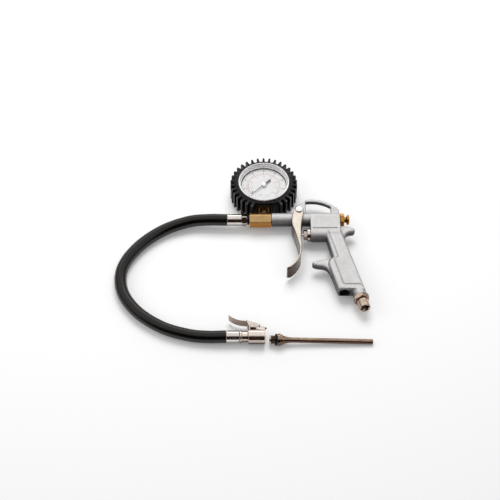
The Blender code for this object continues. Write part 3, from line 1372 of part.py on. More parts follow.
def make_movement_plates():
    """The two brass plates that carry the arbor and the sector."""
    half = PLATE_THICKNESS / 2
    back_mid = back_plate_top_z() - half
    front_mid = FRONT_PLATE_Z + half
    back = plate("movement_back_plate", [movement_plate_outline()], (0.0, 0.0, back_mid), half, brass())
    front = plate("movement_front_plate", [movement_plate_outline()], (0.0, 0.0, front_mid), half,
                  brass())
    pillar_top = FRONT_PLATE_Z - FIT_GAP
    for side in (-1, 1):
        join(back, rod("pillar_left" if side < 0 else "pillar_right", PILLAR_RADIUS,
                       (side * PILLAR_X, PILLAR_Y, back_mid), (side * PILLAR_X, PILLAR_Y, pillar_top),
                       sides=12))
    standoff_top = DIAL_TOP_Z - DIAL_THICKNESS - FIT_GAP
    for side, x in dial_screw_places().items():
        join(front, rod(f"standoff_{side}", STANDOFF_RADIUS, (x, DIAL_SCREW_Y, front_mid),
                        (x, DIAL_SCREW_Y, standoff_top), sides=16))
        cut(front, rod(f"standoff_hole_{side}", DIAL_SCREW_RADIUS + FIT_GAP,
                       (x, DIAL_SCREW_Y, FRONT_PLATE_Z - MM), (x, DIAL_SCREW_Y, standoff_top + MM),
                       sides=12))
    reach = 2 * MM
    for part, middle in ((back, back_mid), (front, front_mid)):
        for hole_name, y in (("arbor", 0.0), ("sector", SECTOR_PIVOT_Y)):
            cut(part, rod(f"{part.name}_{hole_name}_hole", ARBOR_RADIUS + RUN_GAP,
                          (0.0, y, middle - reach), (0.0, y, middle + reach), sides=12))


def pinion_radius():
    return -SECTOR_PIVOT_Y / (1 + GEAR_RATIO)


def make_arbor():
    """The pointer's arbor with its pinion, which stands in both plates."""
    bottom = back_plate_top_z() - PLATE_THICKNESS
    pinion_low = SECTOR_Z - 0.4 * MM
    pinion_high = SECTOR_Z + SECTOR_THICKNESS + 0.4 * MM
    top = POINTER_Z + POINTER_THICKNESS
    profile = [
        (0.0, top),
        (ARBOR_RADIUS, top),
        (ARBOR_RADIUS, pinion_high),
        (pinion_radius(), pinion_high),
        (pinion_radius(), pinion_low),
        (ARBOR_RADIUS, pinion_low),
        (ARBOR_RADIUS, bottom),
        (0.0, bottom),
    ]
    return turned("pointer_arbor", profile, (0.0, 0.0, 0.0), Z_AXIS, brass(), 16)


def make_hairspring():
    """The flat hairspring that takes up the play of the gear, drawn as its outer shape."""
    bottom = SECTOR_Z + SECTOR_THICKNESS + 1.4 * MM
    profile = ring_profile(ARBOR_RADIUS + RUN_GAP, 2.6 * MM, bottom, bottom + 0.5 * MM)
    return turned("hairspring", profile, (0.0, 0.0, 0.0), Z_AXIS, brass(), 16)


def sector_tail():
    """Return the centre of the pivot on the sector's tail."""
    return Vector((SECTOR_TAIL * math.cos(SECTOR_TAIL_ANGLE),
                   SECTOR_PIVOT_Y + SECTOR_TAIL * math.sin(SECTOR_TAIL_ANGLE)))


def make_sector():
    """The sector, its pivot and its tail with the link's pin, at the rest position."""
    swing = math.degrees(POINTER_SWEEP / GEAR_RATIO)
    pitch_radius = -SECTOR_PIVOT_Y - pinion_radius() - FIT_GAP
    rim = arc((0.0, SECTOR_PIVOT_Y), pitch_radius, 90 - swing - 6, 90 + 6)
    hub = arc((0.0, SECTOR_PIVOT_Y), 1.9 * MM, 150, 235, 4)
    tail = sector_tail()
    tail_end = arc(tail, 0.9 * MM, 200, 350, 4)
    heel = arc((0.0, SECTOR_PIVOT_Y), 1.9 * MM, 340, 390, 3)
    middle = SECTOR_Z + SECTOR_THICKNESS / 2
    sector = plate("sector_gear", [rim + hub + tail_end + heel], (0.0, 0.0, middle),
                   SECTOR_THICKNESS / 2, brass())
    low = back_plate_top_z() - PLATE_THICKNESS
    high = FRONT_PLATE_Z + PLATE_THICKNESS
    shaft = rod("sector_shaft", ARBOR_RADIUS, (0.0, SECTOR_PIVOT_Y, low),
                (0.0, SECTOR_PIVOT_Y, high), sides=12)
    pin = rod("sector_link_pin", LINK_PIN_RADIUS, (*tail, middle), (*tail, LINK_Z - FIT_GAP), sides=12)
    return join(sector, shaft, pin)


def make_link():
    """The link between the tube's free tip and the sector's tail, above both."""
    tail = sector_tail()
    tip_radius = BOURDON_RADIUS - BOURDON_TUBE_RADIUS
    tip = Vector((tip_radius * math.cos(BOURDON_END_ANGLE), tip_radius * math.sin(BOURDON_END_ANGLE)))
    heading = math.degrees(math.atan2(tip.y - tail.y, tip.x - tail.x))
    half = 0.9 * MM
    outline = arc(tail, half, heading + 90, heading + 270, 5)
    outline += arc(tip, half, heading - 90, heading + 90, 5)
    half_thickness = LINK_THICKNESS / 2
    return plate("movement_link", [outline], (0.0, 0.0, LINK_Z + half_thickness), half_thickness,
                 brass())


def make_pointer():
    """The pointer at zero, with its blunt tail and a domed hub over the arbor."""
    tip_half = 0.3 * MM
    neck_half = 0.7 * MM
    tail_half = 1.1 * MM
    outline = [
        (POINTER_LENGTH, -tip_half), (POINTER_LENGTH, tip_half),
        (POINTER_HUB_RADIUS, neck_half), (-POINTER_HUB_RADIUS, tail_half),
        (-POINTER_TAIL, tail_half), (-POINTER_TAIL, -tail_half),
        (-POINTER_HUB_RADIUS, -tail_half), (POINTER_HUB_RADIUS, -neck_half),
    ]
    pointer = plate("pointer", [outline], (0.0, 0.0, POINTER_Z), POINTER_THICKNESS / 2, black_paint())
    pointer.matrix_world = pointer.matrix_world @ Matrix.Rotation(POINTER_ZERO, 4, "Z")
    top = POINTER_Z + POINTER_THICKNESS + 0.9 * MM
    bottom = POINTER_Z - POINTER_THICKNESS
    profile = [(0.0, top), (POINTER_HUB_RADIUS * 0.7, top), (POINTER_HUB_RADIUS, top - 0.5 * MM),
               (POINTER_HUB_RADIUS, bottom), (0.0, bottom)]
    hub = turned("pointer_hub", profile, (0.0, 0.0, 0.0), Z_AXIS)
    bore = rod("pointer_bore", ARBOR_RADIUS + FIT_GAP, (0.0, 0.0, bottom - MM),
               (0.0, 0.0, POINTER_Z + POINTER_THICKNESS + FIT_GAP), sides=16)
    join(pointer, hub)
    return cut(pointer, bore)


# ============================================================================================
# Chuck
# ============================================================================================


def make_chuck_stem():
    """The barbed tail in the hose end, with a bead, a neck and a thread into the body."""
    tail = FERRULE_BORE_RADIUS - FIT_GAP
    bead_left = bead_left_x()
    bead_right = bead_left + CHUCK_BEAD_LENGTH
    body_face = chuck_left_x() - FIT_GAP
    thread_end = chuck_left_x() + CHUCK_THREAD_LENGTH
    profile = [
        (STEM_BORE_RADIUS, thread_end),
        (CHUCK_THREAD_RADIUS, thread_end),
        (CHUCK_THREAD_RADIUS, body_face),
        (CHUCK_NECK_RADIUS, body_face),
        (CHUCK_NECK_RADIUS, bead_right),
        (CHUCK_BEAD_RADIUS - 0.8 * MM, bead_right),
        (CHUCK_BEAD_RADIUS, bead_right - 0.9 * MM),
        (CHUCK_BEAD_RADIUS, bead_left + 0.9 * MM),
        (CHUCK_BEAD_RADIUS - 0.8 * MM, bead_left),
        (tail, bead_left),
        (tail, chuck_ferrule_x() + FIT_GAP),
        (STEM_BORE_RADIUS, chuck_ferrule_x() + FIT_GAP),
    ]
    return turned("chuck_stem", profile, on_chuck(0.0), X_AXIS, nickel_plate())


def lug_outline():
    """Return the side view of the lug that carries the rivet and guards the claw."""
    foot_y = CHUCK_Y + CHUCK_RADIUS * 0.4
    left = RIVET_X - 3.0 * MM
    return [
        (left, foot_y), (CHUCK_END_X, foot_y), (CHUCK_END_X, LUG_TOP_Y),
        (SLOT_REAR_X - MM, LUG_TOP_Y), (SLOT_FRONT_X - MM, CHUCK_Y + CHUCK_RADIUS),
        (RIVET_X + 2.6 * MM, RIVET_Y + 1.4 * MM), (RIVET_X + 1.4 * MM, RIVET_Y + 2.6 * MM),
        (RIVET_X - 1.4 * MM, RIVET_Y + 2.6 * MM), (left, RIVET_Y + 1.4 * MM),
    ]


def make_chuck_body():
    """The chuck's body: a round barrel with the rivet's lug, the mouth and the claw's slot."""
    body = rod("chuck_body", CHUCK_RADIUS, on_chuck(chuck_left_x()), on_chuck(CHUCK_END_X),
               nickel_plate(), 32)
    lug = plate("chuck_lug", [lug_outline()], (0.0, 0.0, CHUCK_Z), LUG_HALF_THICKNESS)
    mouth_end = CHUCK_END_X - CHUCK_MOUTH_DEPTH
    mouth = rod("chuck_mouth", CHUCK_MOUTH_RADIUS, on_chuck(mouth_end), on_chuck(CHUCK_END_X + MM))
    thread = rod("chuck_thread", CHUCK_THREAD_RADIUS + FIT_GAP, on_chuck(chuck_left_x() - MM),
                 on_chuck(chuck_left_x() + CHUCK_THREAD_LENGTH + FIT_GAP))
    airway = rod("chuck_airway", STEM_BORE_RADIUS, on_chuck(chuck_left_x()),
                 on_chuck(mouth_end + MM), sides=16)
    claw_half = LUG_SLOT_HALF + RUN_GAP
    slot = block("claw_slot",
                 Vector((SLOT_FRONT_X, CHUCK_Y + CHUCK_MOUTH_RADIUS * 0.5, CHUCK_Z - claw_half)),
                 Vector((SLOT_REAR_X, LUG_TOP_Y + 4 * MM, CHUCK_Z + claw_half)))
    spring_slot = block("spring_slot",
                        Vector((RIVET_X - 6 * MM, RIVET_Y - SPRING_COIL_RADIUS - MM, CHUCK_Z - LUG_SLOT_HALF)),
                        Vector((RIVET_X + SPRING_COIL_RADIUS + MM, RIVET_Y + 6 * MM, CHUCK_Z + LUG_SLOT_HALF)))
    reach = LUG_HALF_THICKNESS + MM
    hole = rod("rivet_hole", RIVET_RADIUS + FIT_GAP, (RIVET_X, RIVET_Y, CHUCK_Z - reach),
               (RIVET_X, RIVET_Y, CHUCK_Z + reach), sides=16)
    plug_y = LUG_TOP_Y - 1.9 * MM
    plug_hole = rod("plug_hole", PLUG_RADIUS + FIT_GAP,
                    (CHUCK_END_X - 1.8 * MM, plug_y, CHUCK_Z + 2.0 * MM),
                    (CHUCK_END_X + MM, plug_y, CHUCK_Z + 2.0 * MM), sides=12)
    join(body, lug)
    return cut(body, mouth, thread, airway, slot, spring_slot, hole, plug_hole)


def make_lug_plug():
    """The small black pad that stands out of the lug beside the mouth."""
    place = (CHUCK_END_X, LUG_TOP_Y - 1.9 * MM, CHUCK_Z + 2.0 * MM)
    profile = [
        (0.0, PLUG_REACH),
        (PLUG_RADIUS * 0.7, PLUG_REACH),
        (PLUG_RADIUS, PLUG_REACH - 0.5 * MM),
        (PLUG_RADIUS, -1.5 * MM),
        (0.0, -1.5 * MM),
    ]
    return turned("chuck_lug_pad", profile, place, X_AXIS, black_rubber(), 12)


def make_chuck_seal():
    left = CHUCK_END_X - CHUCK_MOUTH_DEPTH + FIT_GAP
    profile = ring_profile(1.9 * MM, CHUCK_MOUTH_RADIUS - FIT_GAP, left, left + 3.0 * MM)
    return turned("chuck_seal", profile, on_chuck(0.0), X_AXIS, black_rubber())


def make_depressor():
    """The pin that opens the tyre's valve core, on a disc behind the seal."""
    disc_left = CHUCK_END_X - CHUCK_MOUTH_DEPTH - 2.4 * MM
    profile = [
        (0.0, disc_left + 6.4 * MM),
        (0.9 * MM, disc_left + 6.4 * MM),
        (0.9 * MM, disc_left + 1.2 * MM),
        (STEM_BORE_RADIUS - FIT_GAP, disc_left + 1.2 * MM),
        (STEM_BORE_RADIUS - FIT_GAP, disc_left),
        (0.0, disc_left),
    ]
    return turned("chuck_depressor", profile, on_chuck(0.0), X_AXIS, brass(), 16)


def lever_path():
    """Return the outer line of the lever's sheet: thumb tab, corner and web."""
    return [
        (RIVET_X - 26.5 * MM, RIVET_Y + 16.1 * MM), (RIVET_X - 22.9 * MM, RIVET_Y + 13.1 * MM),
        (RIVET_X - 18.7 * MM, RIVET_Y + 10.7 * MM),
        (RIVET_X - 13.9 * MM, RIVET_Y + 9.1 * MM), (RIVET_X - 6.3 * MM, RIVET_Y + 8.1 * MM),
    ]


def sheet_outline(path, thickness):
    """Return a closed outline of a bent sheet whose outer line is given."""
    return path + list(reversed(inside_edge(path, -thickness)))


def ear_outline():
    """Return the side view of the lever's two ears."""
    return [
        (RIVET_X - 7.5 * MM, RIVET_Y + 9.1 * MM), (RIVET_X - 4.3 * MM, RIVET_Y + 1.2 * MM),
        (RIVET_X - 2.5 * MM, RIVET_Y - 1.9 * MM),
        (RIVET_X + 3.1 * MM, RIVET_Y - 1.9 * MM), (CLAW_X + LEVER_SHEET, RIVET_Y + 1.2 * MM),
        (CLAW_X + LEVER_SHEET, RIVET_Y + 2.8 * MM),
    ]


def make_chuck_lever():
    """The sprung lever: two ears on the rivet, a thumb tab and a claw into the mouth."""
    mid = (0.0, 0.0, CHUCK_Z)
    ear_inner = LUG_HALF_THICKNESS + RUN_GAP
    ear_half = ear_inner + LEVER_SHEET
    lever = plate("chuck_lever", [ear_outline()], mid, ear_half, nickel_plate())
    gap_left = plate("lever_gap", [[
        (RIVET_X - 5.8 * MM, RIVET_Y + 8.0 * MM), (RIVET_X - 4.1 * MM, RIVET_Y + 3.4 * MM),
        (RIVET_X - 10.9 * MM, RIVET_Y + 3.4 * MM), (RIVET_X - 10.9 * MM, RIVET_Y - 7.0 * MM),
        (CLAW_X - LEVER_SHEET / 2, RIVET_Y - 7.0 * MM), (CLAW_X - LEVER_SHEET / 2, RIVET_Y + 15.0 * MM),
        (RIVET_X - 5.8 * MM, RIVET_Y + 15.0 * MM),
    ]], mid, ear_inner)
    gap_right = block("lever_claw_gap",
                      (CLAW_X + LEVER_SHEET / 2, RIVET_Y - 7.0 * MM, CHUCK_Z - ear_inner),
                      (CLAW_X + 3 * LEVER_SHEET, RIVET_Y + 15.0 * MM, CHUCK_Z + ear_inner))
    tab = plate("lever_tab", [sheet_outline(lever_path(), LEVER_SHEET)], mid, LEVER_TAB_HALF)
    claw = block("lever_claw",
                 (CLAW_X - LEVER_SHEET / 2, CLAW_TIP_Y, CHUCK_Z - LUG_SLOT_HALF),
                 (CLAW_X + LEVER_SHEET / 2, RIVET_Y + 2.4 * MM, CHUCK_Z + LUG_SLOT_HALF))
    reach = ear_half + MM
    hole = rod("lever_rivet_hole", RIVET_RADIUS + FIT_GAP, (RIVET_X, RIVET_Y, CHUCK_Z - reach),
               (RIVET_X, RIVET_Y, CHUCK_Z + reach), sides=16)
    cut(lever, gap_left, gap_right)
    join(lever, tab, claw)
    return cut(lever, hole)


def make_lever_rivet():
    ear_outer = LUG_HALF_THICKNESS + RUN_GAP + LEVER_SHEET
    face = ear_outer + FIT_GAP
    profile = [
        (0.0, face + RIVET_HEAD_HEIGHT),
        (RIVET_HEAD_RADIUS * 0.6, face + RIVET_HEAD_HEIGHT),
        (RIVET_HEAD_RADIUS, face + RIVET_HEAD_HEIGHT * 0.3),
        (RIVET_HEAD_RADIUS, face),
        (RIVET_RADIUS, face),
        (RIVET_RADIUS, -face),
        (RIVET_HEAD_RADIUS, -face),
        (RIVET_HEAD_RADIUS, -face - RIVET_HEAD_HEIGHT * 0.3),
        (RIVET_HEAD_RADIUS * 0.6, -face - RIVET_HEAD_HEIGHT),
        (0.0, -face - RIVET_HEAD_HEIGHT),
    ]
    return turned("chuck_lever_rivet", profile, (RIVET_X, RIVET_Y, CHUCK_Z), Z_AXIS, nickel_plate(), 16)


def make_lever_spring():
    """The small torsion spring round the rivet, in the slot of the lug."""
    half = LUG_SLOT_HALF - FIT_GAP - SMALL_WIRE_RADIUS
    turns = 2.5
    helix = coil(SPRING_COIL_RADIUS, -half, half, turns)
    print_coil_gap("chuck_lever_spring", 2 * half, turns, SMALL_WIRE_RADIUS)
    path = [Vector((RIVET_X, RIVET_Y, CHUCK_Z)) + p for p in helix]
    return tube("chuck_lever_spring", path, SMALL_WIRE_RADIUS, spring_steel())


# ============================================================================================
# Blow nozzle
# ============================================================================================


def nozzle_tilt():
    """Return the angle at which the nozzle lies on its flange and on its tip."""
    contact = NOZZLE_THREAD_LENGTH + NOZZLE_SEAL_LENGTH + FIT_GAP * 2 + NOZZLE_FLANGE_LENGTH / 2
    return math.asin((NOZZLE_FLANGE_RADIUS - NOZZLE_TUBE_RADIUS) / (NOZZLE_LENGTH - contact))


def nozzle_frame():
    """Return the nozzle's open thread end and its direction along the table."""
    tilt = nozzle_tilt()
    contact = NOZZLE_THREAD_LENGTH + NOZZLE_SEAL_LENGTH + FIT_GAP * 2
    height = NOZZLE_FLANGE_RADIUS * math.cos(tilt) + contact * math.sin(tilt) + FIT_GAP / 2
    return Vector((NOZZLE_LEFT_X, NOZZLE_Y, height)), Vector((math.cos(tilt), 0.0, -math.sin(tilt)))


def make_nozzle():
    """The turned blow nozzle: thread, seal groove, flange, hollow taper and long tube."""
    start, axis = nozzle_frame()
    groove_end = NOZZLE_THREAD_LENGTH + NOZZLE_SEAL_LENGTH + 2 * FIT_GAP
    flange_end = groove_end + NOZZLE_FLANGE_LENGTH
    step_end = flange_end + NOZZLE_STEP_LENGTH
    taper_radius = NOZZLE_STEP_RADIUS - 0.6 * MM
    steps = 6
    taper = []
    for i in range(steps + 1):
        share = i / steps
        radius = NOZZLE_TUBE_RADIUS + (taper_radius - NOZZLE_TUBE_RADIUS) * (1 - share) ** 2.4
        taper.append((radius, step_end + NOZZLE_TAPER_LENGTH * share))
    profile = [(NOZZLE_BORE_RADIUS, NOZZLE_LENGTH), (NOZZLE_TUBE_RADIUS, NOZZLE_LENGTH)]
    profile += list(reversed(taper))
    profile += [
        (NOZZLE_STEP_RADIUS, step_end),
        (NOZZLE_STEP_RADIUS, flange_end),
        (NOZZLE_FLANGE_RADIUS, flange_end),
        (NOZZLE_FLANGE_RADIUS, groove_end),
        (NOZZLE_GROOVE_RADIUS, groove_end),
        (NOZZLE_GROOVE_RADIUS, NOZZLE_THREAD_LENGTH),
        (NOZZLE_THREAD_RADIUS, NOZZLE_THREAD_LENGTH),
        (NOZZLE_THREAD_RADIUS, 0.0),
        (NOZZLE_BORE_RADIUS, 0.0),
    ]
    return turned("nozzle_tube", profile, start, axis, nickel_plate())


def make_nozzle_seal():
    start, axis = nozzle_frame()
    left = NOZZLE_THREAD_LENGTH + FIT_GAP
    middle = left + NOZZLE_SEAL_LENGTH / 2
    right = left + NOZZLE_SEAL_LENGTH
    shoulder = NOZZLE_SEAL_RADIUS - 0.7 * MM
    inner = NOZZLE_GROOVE_RADIUS + FIT_GAP
    profile = [(shoulder, right), (NOZZLE_SEAL_RADIUS, middle), (shoulder, left), (inner, left),
               (inner, right)]
    return turned("nozzle_seal", profile, start, axis, black_rubber())


# ============================================================================================


def make_gun():
    make_gun_body()
    make_trigger()
    make_trigger_pin()
    make_pin_clip()
    make_valve_gland()
    make_gland_packing()
    make_valve_seat()
    make_valve_stem()
    make_valve_poppet()
    make_valve_spring()
    make_deflate_gland()
    make_deflate_button()
    make_deflate_seal()
    make_deflate_spring()
    make_inlet_connector()
    make_inlet_seal()


def make_gauge():
    make_gauge_boot()
    make_gauge_case()
    make_bezel()
    make_lens()
    make_dial()
    make_dial_screws()
    make_socket()
    make_bourdon_tube()
    make_movement_plates()
    make_arbor()
    make_hairspring()
    make_sector()
    make_link()
    make_pointer()


def make_hose_line():
    make_tee()
    make_gun_stem()
    make_stem_seal()
    make_gun_ferrule()
    make_hose()
    make_chuck_ferrule()
    make_chuck_stem()
    make_chuck_body()
    make_lug_plug()
    make_chuck_seal()
    make_depressor()
    make_chuck_lever()
    make_lever_rivet()
    make_lever_spring()


def make_blow_nozzle():
    make_nozzle()
    make_nozzle_seal()


clear_scene()
make_gun()
make_gauge()
make_hose_line()
make_blow_nozzle()
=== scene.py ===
"""Looks of a hand-held tyre inflator: trigger gun, booted dial gauge, hose, clip-on chuck, nozzle.

The shapes are worked out in millimetres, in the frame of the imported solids: the gauge axis is Z,
the table is Z = 0, the barrel runs along +X to the gun's rear and +Y points up to the gauge.
"""

from __future__ import annotations

import logging
import math
from dataclasses import dataclass, replace
from enum import Enum
from functools import cache, partial
from typing import Callable, ClassVar, Sequence

import bmesh
import bpy
import numpy as np
from mathutils import Matrix, Vector


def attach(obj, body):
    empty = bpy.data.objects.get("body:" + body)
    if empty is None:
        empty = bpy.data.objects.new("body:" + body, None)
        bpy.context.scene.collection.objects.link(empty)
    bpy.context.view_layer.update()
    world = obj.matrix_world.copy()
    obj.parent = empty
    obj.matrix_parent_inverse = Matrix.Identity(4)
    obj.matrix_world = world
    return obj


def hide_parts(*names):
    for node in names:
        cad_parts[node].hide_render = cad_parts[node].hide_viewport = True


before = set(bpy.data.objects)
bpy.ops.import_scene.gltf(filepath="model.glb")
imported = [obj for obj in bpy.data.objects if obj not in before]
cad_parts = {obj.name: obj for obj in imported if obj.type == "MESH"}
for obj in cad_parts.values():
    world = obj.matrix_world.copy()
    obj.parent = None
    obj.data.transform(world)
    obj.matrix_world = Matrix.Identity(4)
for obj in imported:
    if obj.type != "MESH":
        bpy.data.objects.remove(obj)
bpy.context.view_layer.update()
LOG = logging.getLogger("tyre_inflator")

MM = 0.001
FIT = 0.3  # gap between two pieces that touch, mm
RUN = 0.4  # gap at the side of a moving piece, mm
WELD = 0.0005 * MM  # points nearer than this are one point
SHARP = 38.0  # edges that turn by more degrees than this stay sharp
MID_Z = 13.5  # mid plane of the gun
BARREL_Y = -48.3
VALVE_Y = -72.0
TRIGGER_PIVOT = (42.3, -41.0)
PIN_HOLE = 2.3  # radius of the holes for the trigger's pin
BEZEL_RADIUS = 31.0
CHUCK_Y = -215.5
CHUCK_Z = 8.6
HANDLE_RAKE = math.radians(15.2)
HANDLE_DOWN = Vector((math.sin(HANDLE_RAKE), -math.cos(HANDLE_RAKE), 0.0))
X_AXIS = Vector((1.0, 0.0, 0.0))
Y_AXIS = Vector((0.0, 1.0, 0.0))
Z_AXIS = Vector((0.0, 0.0, 1.0))

Pair = tuple[float, float]
Triple = tuple[float, float, float]
Outline = list[Pair]
Solid = bpy.types.Object
Tree = bpy.types.NodeTree
Socket = bpy.types.NodeSocket
RadiusShape = Callable[[np.ndarray, float, float], np.ndarray]


class Body(Enum):
    """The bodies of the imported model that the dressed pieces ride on."""

    GUN = "gun"
    TRIGGER = "trigger"
    VALVE = "valve"
    BUTTON = "button"
    POINTER = "pointer"
    LEVER = "lever"
    NOZZLE = "nozzle"


class Slot(Enum):
    """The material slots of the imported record."""

    ALUMINIUM = "cast_aluminium"
    NICKEL = "nickel_plate"
    BRASS = "brass"
    SPRING = "spring_steel"
    RUBBER = "black_rubber"
    CHROME = "bright_steel"
    DIAL = "painted_dial"
    BLACK = "black_paint"
    LENS = "clear_lens"


# ---- Finishes ----


def linear(colour: str) -> tuple[float, float, float, float]:
    """Turn an sRGB hex colour into linear light.

    Args:
        colour: Six hex digits, with or without a leading hash.

    Returns:
        Red, green, blue and an alpha of 1.
    """
    digits = colour.lstrip("#")
    parts = [int(digits[i : i + 2], 16) / 255 for i in (0, 2, 4)]
    light = [c / 12.92 if c <= 0.04045 else ((c + 0.055) / 1.055) ** 2.4 for c in parts]
    return (light[0], light[1], light[2], 1.0)


def add_node(tree: Tree, kind: str, inputs: dict | tuple = (),
             **settings: object) -> bpy.types.Node:
    """Add a node with its settings, and set or link its inputs.

    Args:
        tree: The node tree that gets the node.
        kind: Blender's name for the node's kind.
        inputs: Values or output sockets, in order, or by the input's name or number.
        **settings: The node's own properties.

    Returns:
        The new node.
    """
    node = tree.nodes.new(kind)
    for key, value in settings.items():
        setattr(node, key, value)
    by_key = inputs if isinstance(inputs, dict) else dict(enumerate(inputs))
    for key, value in by_key.items():
        if isinstance(value, bpy.types.NodeSocket):
            tree.links.new(value, node.inputs[key])
        else:
            node.inputs[key].default_value = value
    return node


def blank_material(name: str) -> tuple[bpy.types.Material, Tree]:
    """Make a material with an empty node tree.

    Args:
        name: The material's name.

    Returns:
        The material and its tree.
    """
    material = bpy.data.materials.new(name)
    material.use_nodes = True
    material.node_tree.nodes.clear()
    return material, material.node_tree


# Ranges of a pattern's values, over which its effect goes from none to full.
PATCH_RANGE = (0.35, 0.65)  # noise between the colour and the tone
SPECK_RANGE = (0.3, 0.7)  # grain that lightens and darkens the colour
GLOSS_RANGE = (0.25, 0.75)  # grain that moves the roughness
EDGE_RANGE = (0.52, 0.56)  # pointiness of an edge lightened as wear and painted highlight, where 0.5 is flat
OPEN_RANGE = (0.15, 0.8)  # share of open sky over a corner


@dataclass(frozen=True)
class Finish:
    """A surface with uneven colour, fine grain in its gloss and relief, edges lightened as wear and
    painted highlight, and painted shade on its side walls and in its corners.

    Attributes:
        name: What the surface is.
        colour: Its main colour.
        tone: The colour of its patches.
        metallic: 1 for a metal.
        roughness: Its mean roughness.
        patch_mm: Size of the patches of the second colour.
        grain_mm: Size of the grain of its relief and gloss.
        relief_mm: Depth of the grain.
        roughness_spread: How far the grain moves the roughness to each side.
        stretch: Draws the grain out along each axis: above 1 finer, below 1 longer.
        edge_wear_and_sheen: Colour of the edges, lightened as wear and painted highlight, if they show.
        upright: Colour of the painted shade on the side walls, if it differs.
        painted_side_shade_range: How far a face turns up, from full painted side shade to none.
        coat: Weight of a clear, smooth layer.
        specular: Strength of the gloss of what isn't metal.
        painted_corner_shade: How much painted shade darkens it deep in its corners and bores.
        corner_shade_mm: How near the walls of such a shaded corner are.
        mottle: How far the grain lightens and darkens the colour.
    """

    name: str
    colour: str
    tone: str
    metallic: float
    roughness: float
    patch_mm: float = 8.0
    grain_mm: float = 0.5
    relief_mm: float = 0.01
    roughness_spread: float = 0.06
    stretch: Triple = (1.0, 1.0, 1.0)
    edge_wear_and_sheen: str = ""
    upright: str = ""
    painted_side_shade_range: Pair = (0.15, 0.85)
    coat: float = 0.0
    specular: float = 0.5
    painted_corner_shade: float = 0.0
    corner_shade_mm: float = 7.0
    mottle: float = 0.012

    @cache
    def material(self) -> bpy.types.Material:
        """Make this finish as a material on first use.

        Returns:
            The material, which is the same one on each later use.
        """
        material, tree = blank_material(self.name)
        place = add_node(tree, "ShaderNodeTexCoord").outputs["Object"]
        in_mm = add_node(tree, "ShaderNodeVectorMath", {0: place, "Scale": 1 / MM},
                         operation="SCALE").outputs[0]
        drawn = add_node(tree, "ShaderNodeVectorMath", (in_mm, self.stretch),
                         operation="MULTIPLY").outputs[0]
        patches = add_node(tree, "ShaderNodeTexNoise", {
            "Vector": in_mm, "Scale": 1 / self.patch_mm, "Detail": 4.0, "Roughness": 0.6,
        }).outputs["Fac"]
        grain = add_node(tree, "ShaderNodeTexNoise", {
            "Vector": drawn, "Scale": 1 / self.grain_mm, "Detail": 2.0,
        }).outputs["Fac"]
        gloss = add_node(tree, "ShaderNodeMapRange", (
            grain, *GLOSS_RANGE, self.roughness - self.roughness_spread,
            self.roughness + self.roughness_spread,
        )).outputs[0]
        relief = add_node(tree, "ShaderNodeBump", {
            "Height": grain, "Distance": self.relief_mm * MM, "Strength": 1.0,
        }).outputs["Normal"]
        shader = add_node(tree, "ShaderNodeBsdfPrincipled", {
            "Base Color": self._shaded_colour(tree, patches, grain), "Metallic": self.metallic,
            "Roughness": gloss, "Normal": relief, "Coat Weight": self.coat, "Coat Roughness": 0.15,
            "Specular IOR Level": self.specular,
        })
        add_node(tree, "ShaderNodeOutputMaterial", {"Surface": shader.outputs[0]})
        return material

    def _shaded_colour(self, tree: Tree, patches: Socket, grain: Socket) -> Socket:
        """Work out the colour from the patches and the grain, with painted shade on the side walls, edges
        lightened as wear and painted highlight, and painted shade in the corners.

        Args:
            tree: The material's node tree.
            patches: The coarse noise.
            grain: The fine noise.

        Returns:
            The output socket of the colour.
        """
        share = add_node(tree, "ShaderNodeMapRange", (patches, *PATCH_RANGE)).outputs[0]
        colour = add_node(tree, "ShaderNodeMix", {
            0: share, 6: linear(self.colour), 7: linear(self.tone),
        }, data_type="RGBA").outputs[2]
        speck = add_node(tree, "ShaderNodeMapRange", (
            grain, *SPECK_RANGE, 1.0 - self.mottle, 1.0 + self.mottle,
        )).outputs[0]
        colour = add_node(tree, "ShaderNodeVectorMath", {0: colour, "Scale": speck},
                          operation="SCALE").outputs[0]
        # Painted shade: faces that turn away from the top take the darker side colour, as if less light
        # fell on them.
        if self.upright:
            facing = add_node(tree, "ShaderNodeTexCoord").outputs["Normal"]
            rise = add_node(tree, "ShaderNodeSeparateXYZ", (facing,)).outputs["Z"]
            level = add_node(tree, "ShaderNodeMapRange", (rise, *self.painted_side_shade_range)).outputs[0]
            colour = add_node(tree, "ShaderNodeMix", {0: level, 6: linear(self.upright), 7: colour},
                              data_type="RGBA").outputs[2]
        # Edges lightened by their pointiness: part wear, part painted highlight.
        if self.edge_wear_and_sheen:
            edge = add_node(tree, "ShaderNodeNewGeometry").outputs["Pointiness"]
            edge = add_node(tree, "ShaderNodeMapRange", (edge, *EDGE_RANGE)).outputs[0]
            wear_and_sheen_share = add_node(tree, "ShaderNodeMath", (edge, patches), operation="MULTIPLY").outputs[0]
            colour = add_node(tree, "ShaderNodeMix", {0: wear_and_sheen_share, 6: colour, 7: linear(self.edge_wear_and_sheen)},
                              data_type="RGBA").outputs[2]
        # Painted shade: ambient occlusion darkens the colour deep in corners and bores.
        if self.painted_corner_shade:
            open_share = add_node(tree, "ShaderNodeAmbientOcclusion", {"Distance": self.corner_shade_mm * MM},
                                  samples=8).outputs["AO"]
            shade = add_node(tree, "ShaderNodeMapRange", (
                open_share, *OPEN_RANGE, 1.0 - self.painted_corner_shade, 1.0,
            )).outputs[0]
            colour = add_node(tree, "ShaderNodeVectorMath", {0: colour, "Scale": shade},
                              operation="SCALE").outputs[0]
        return colour


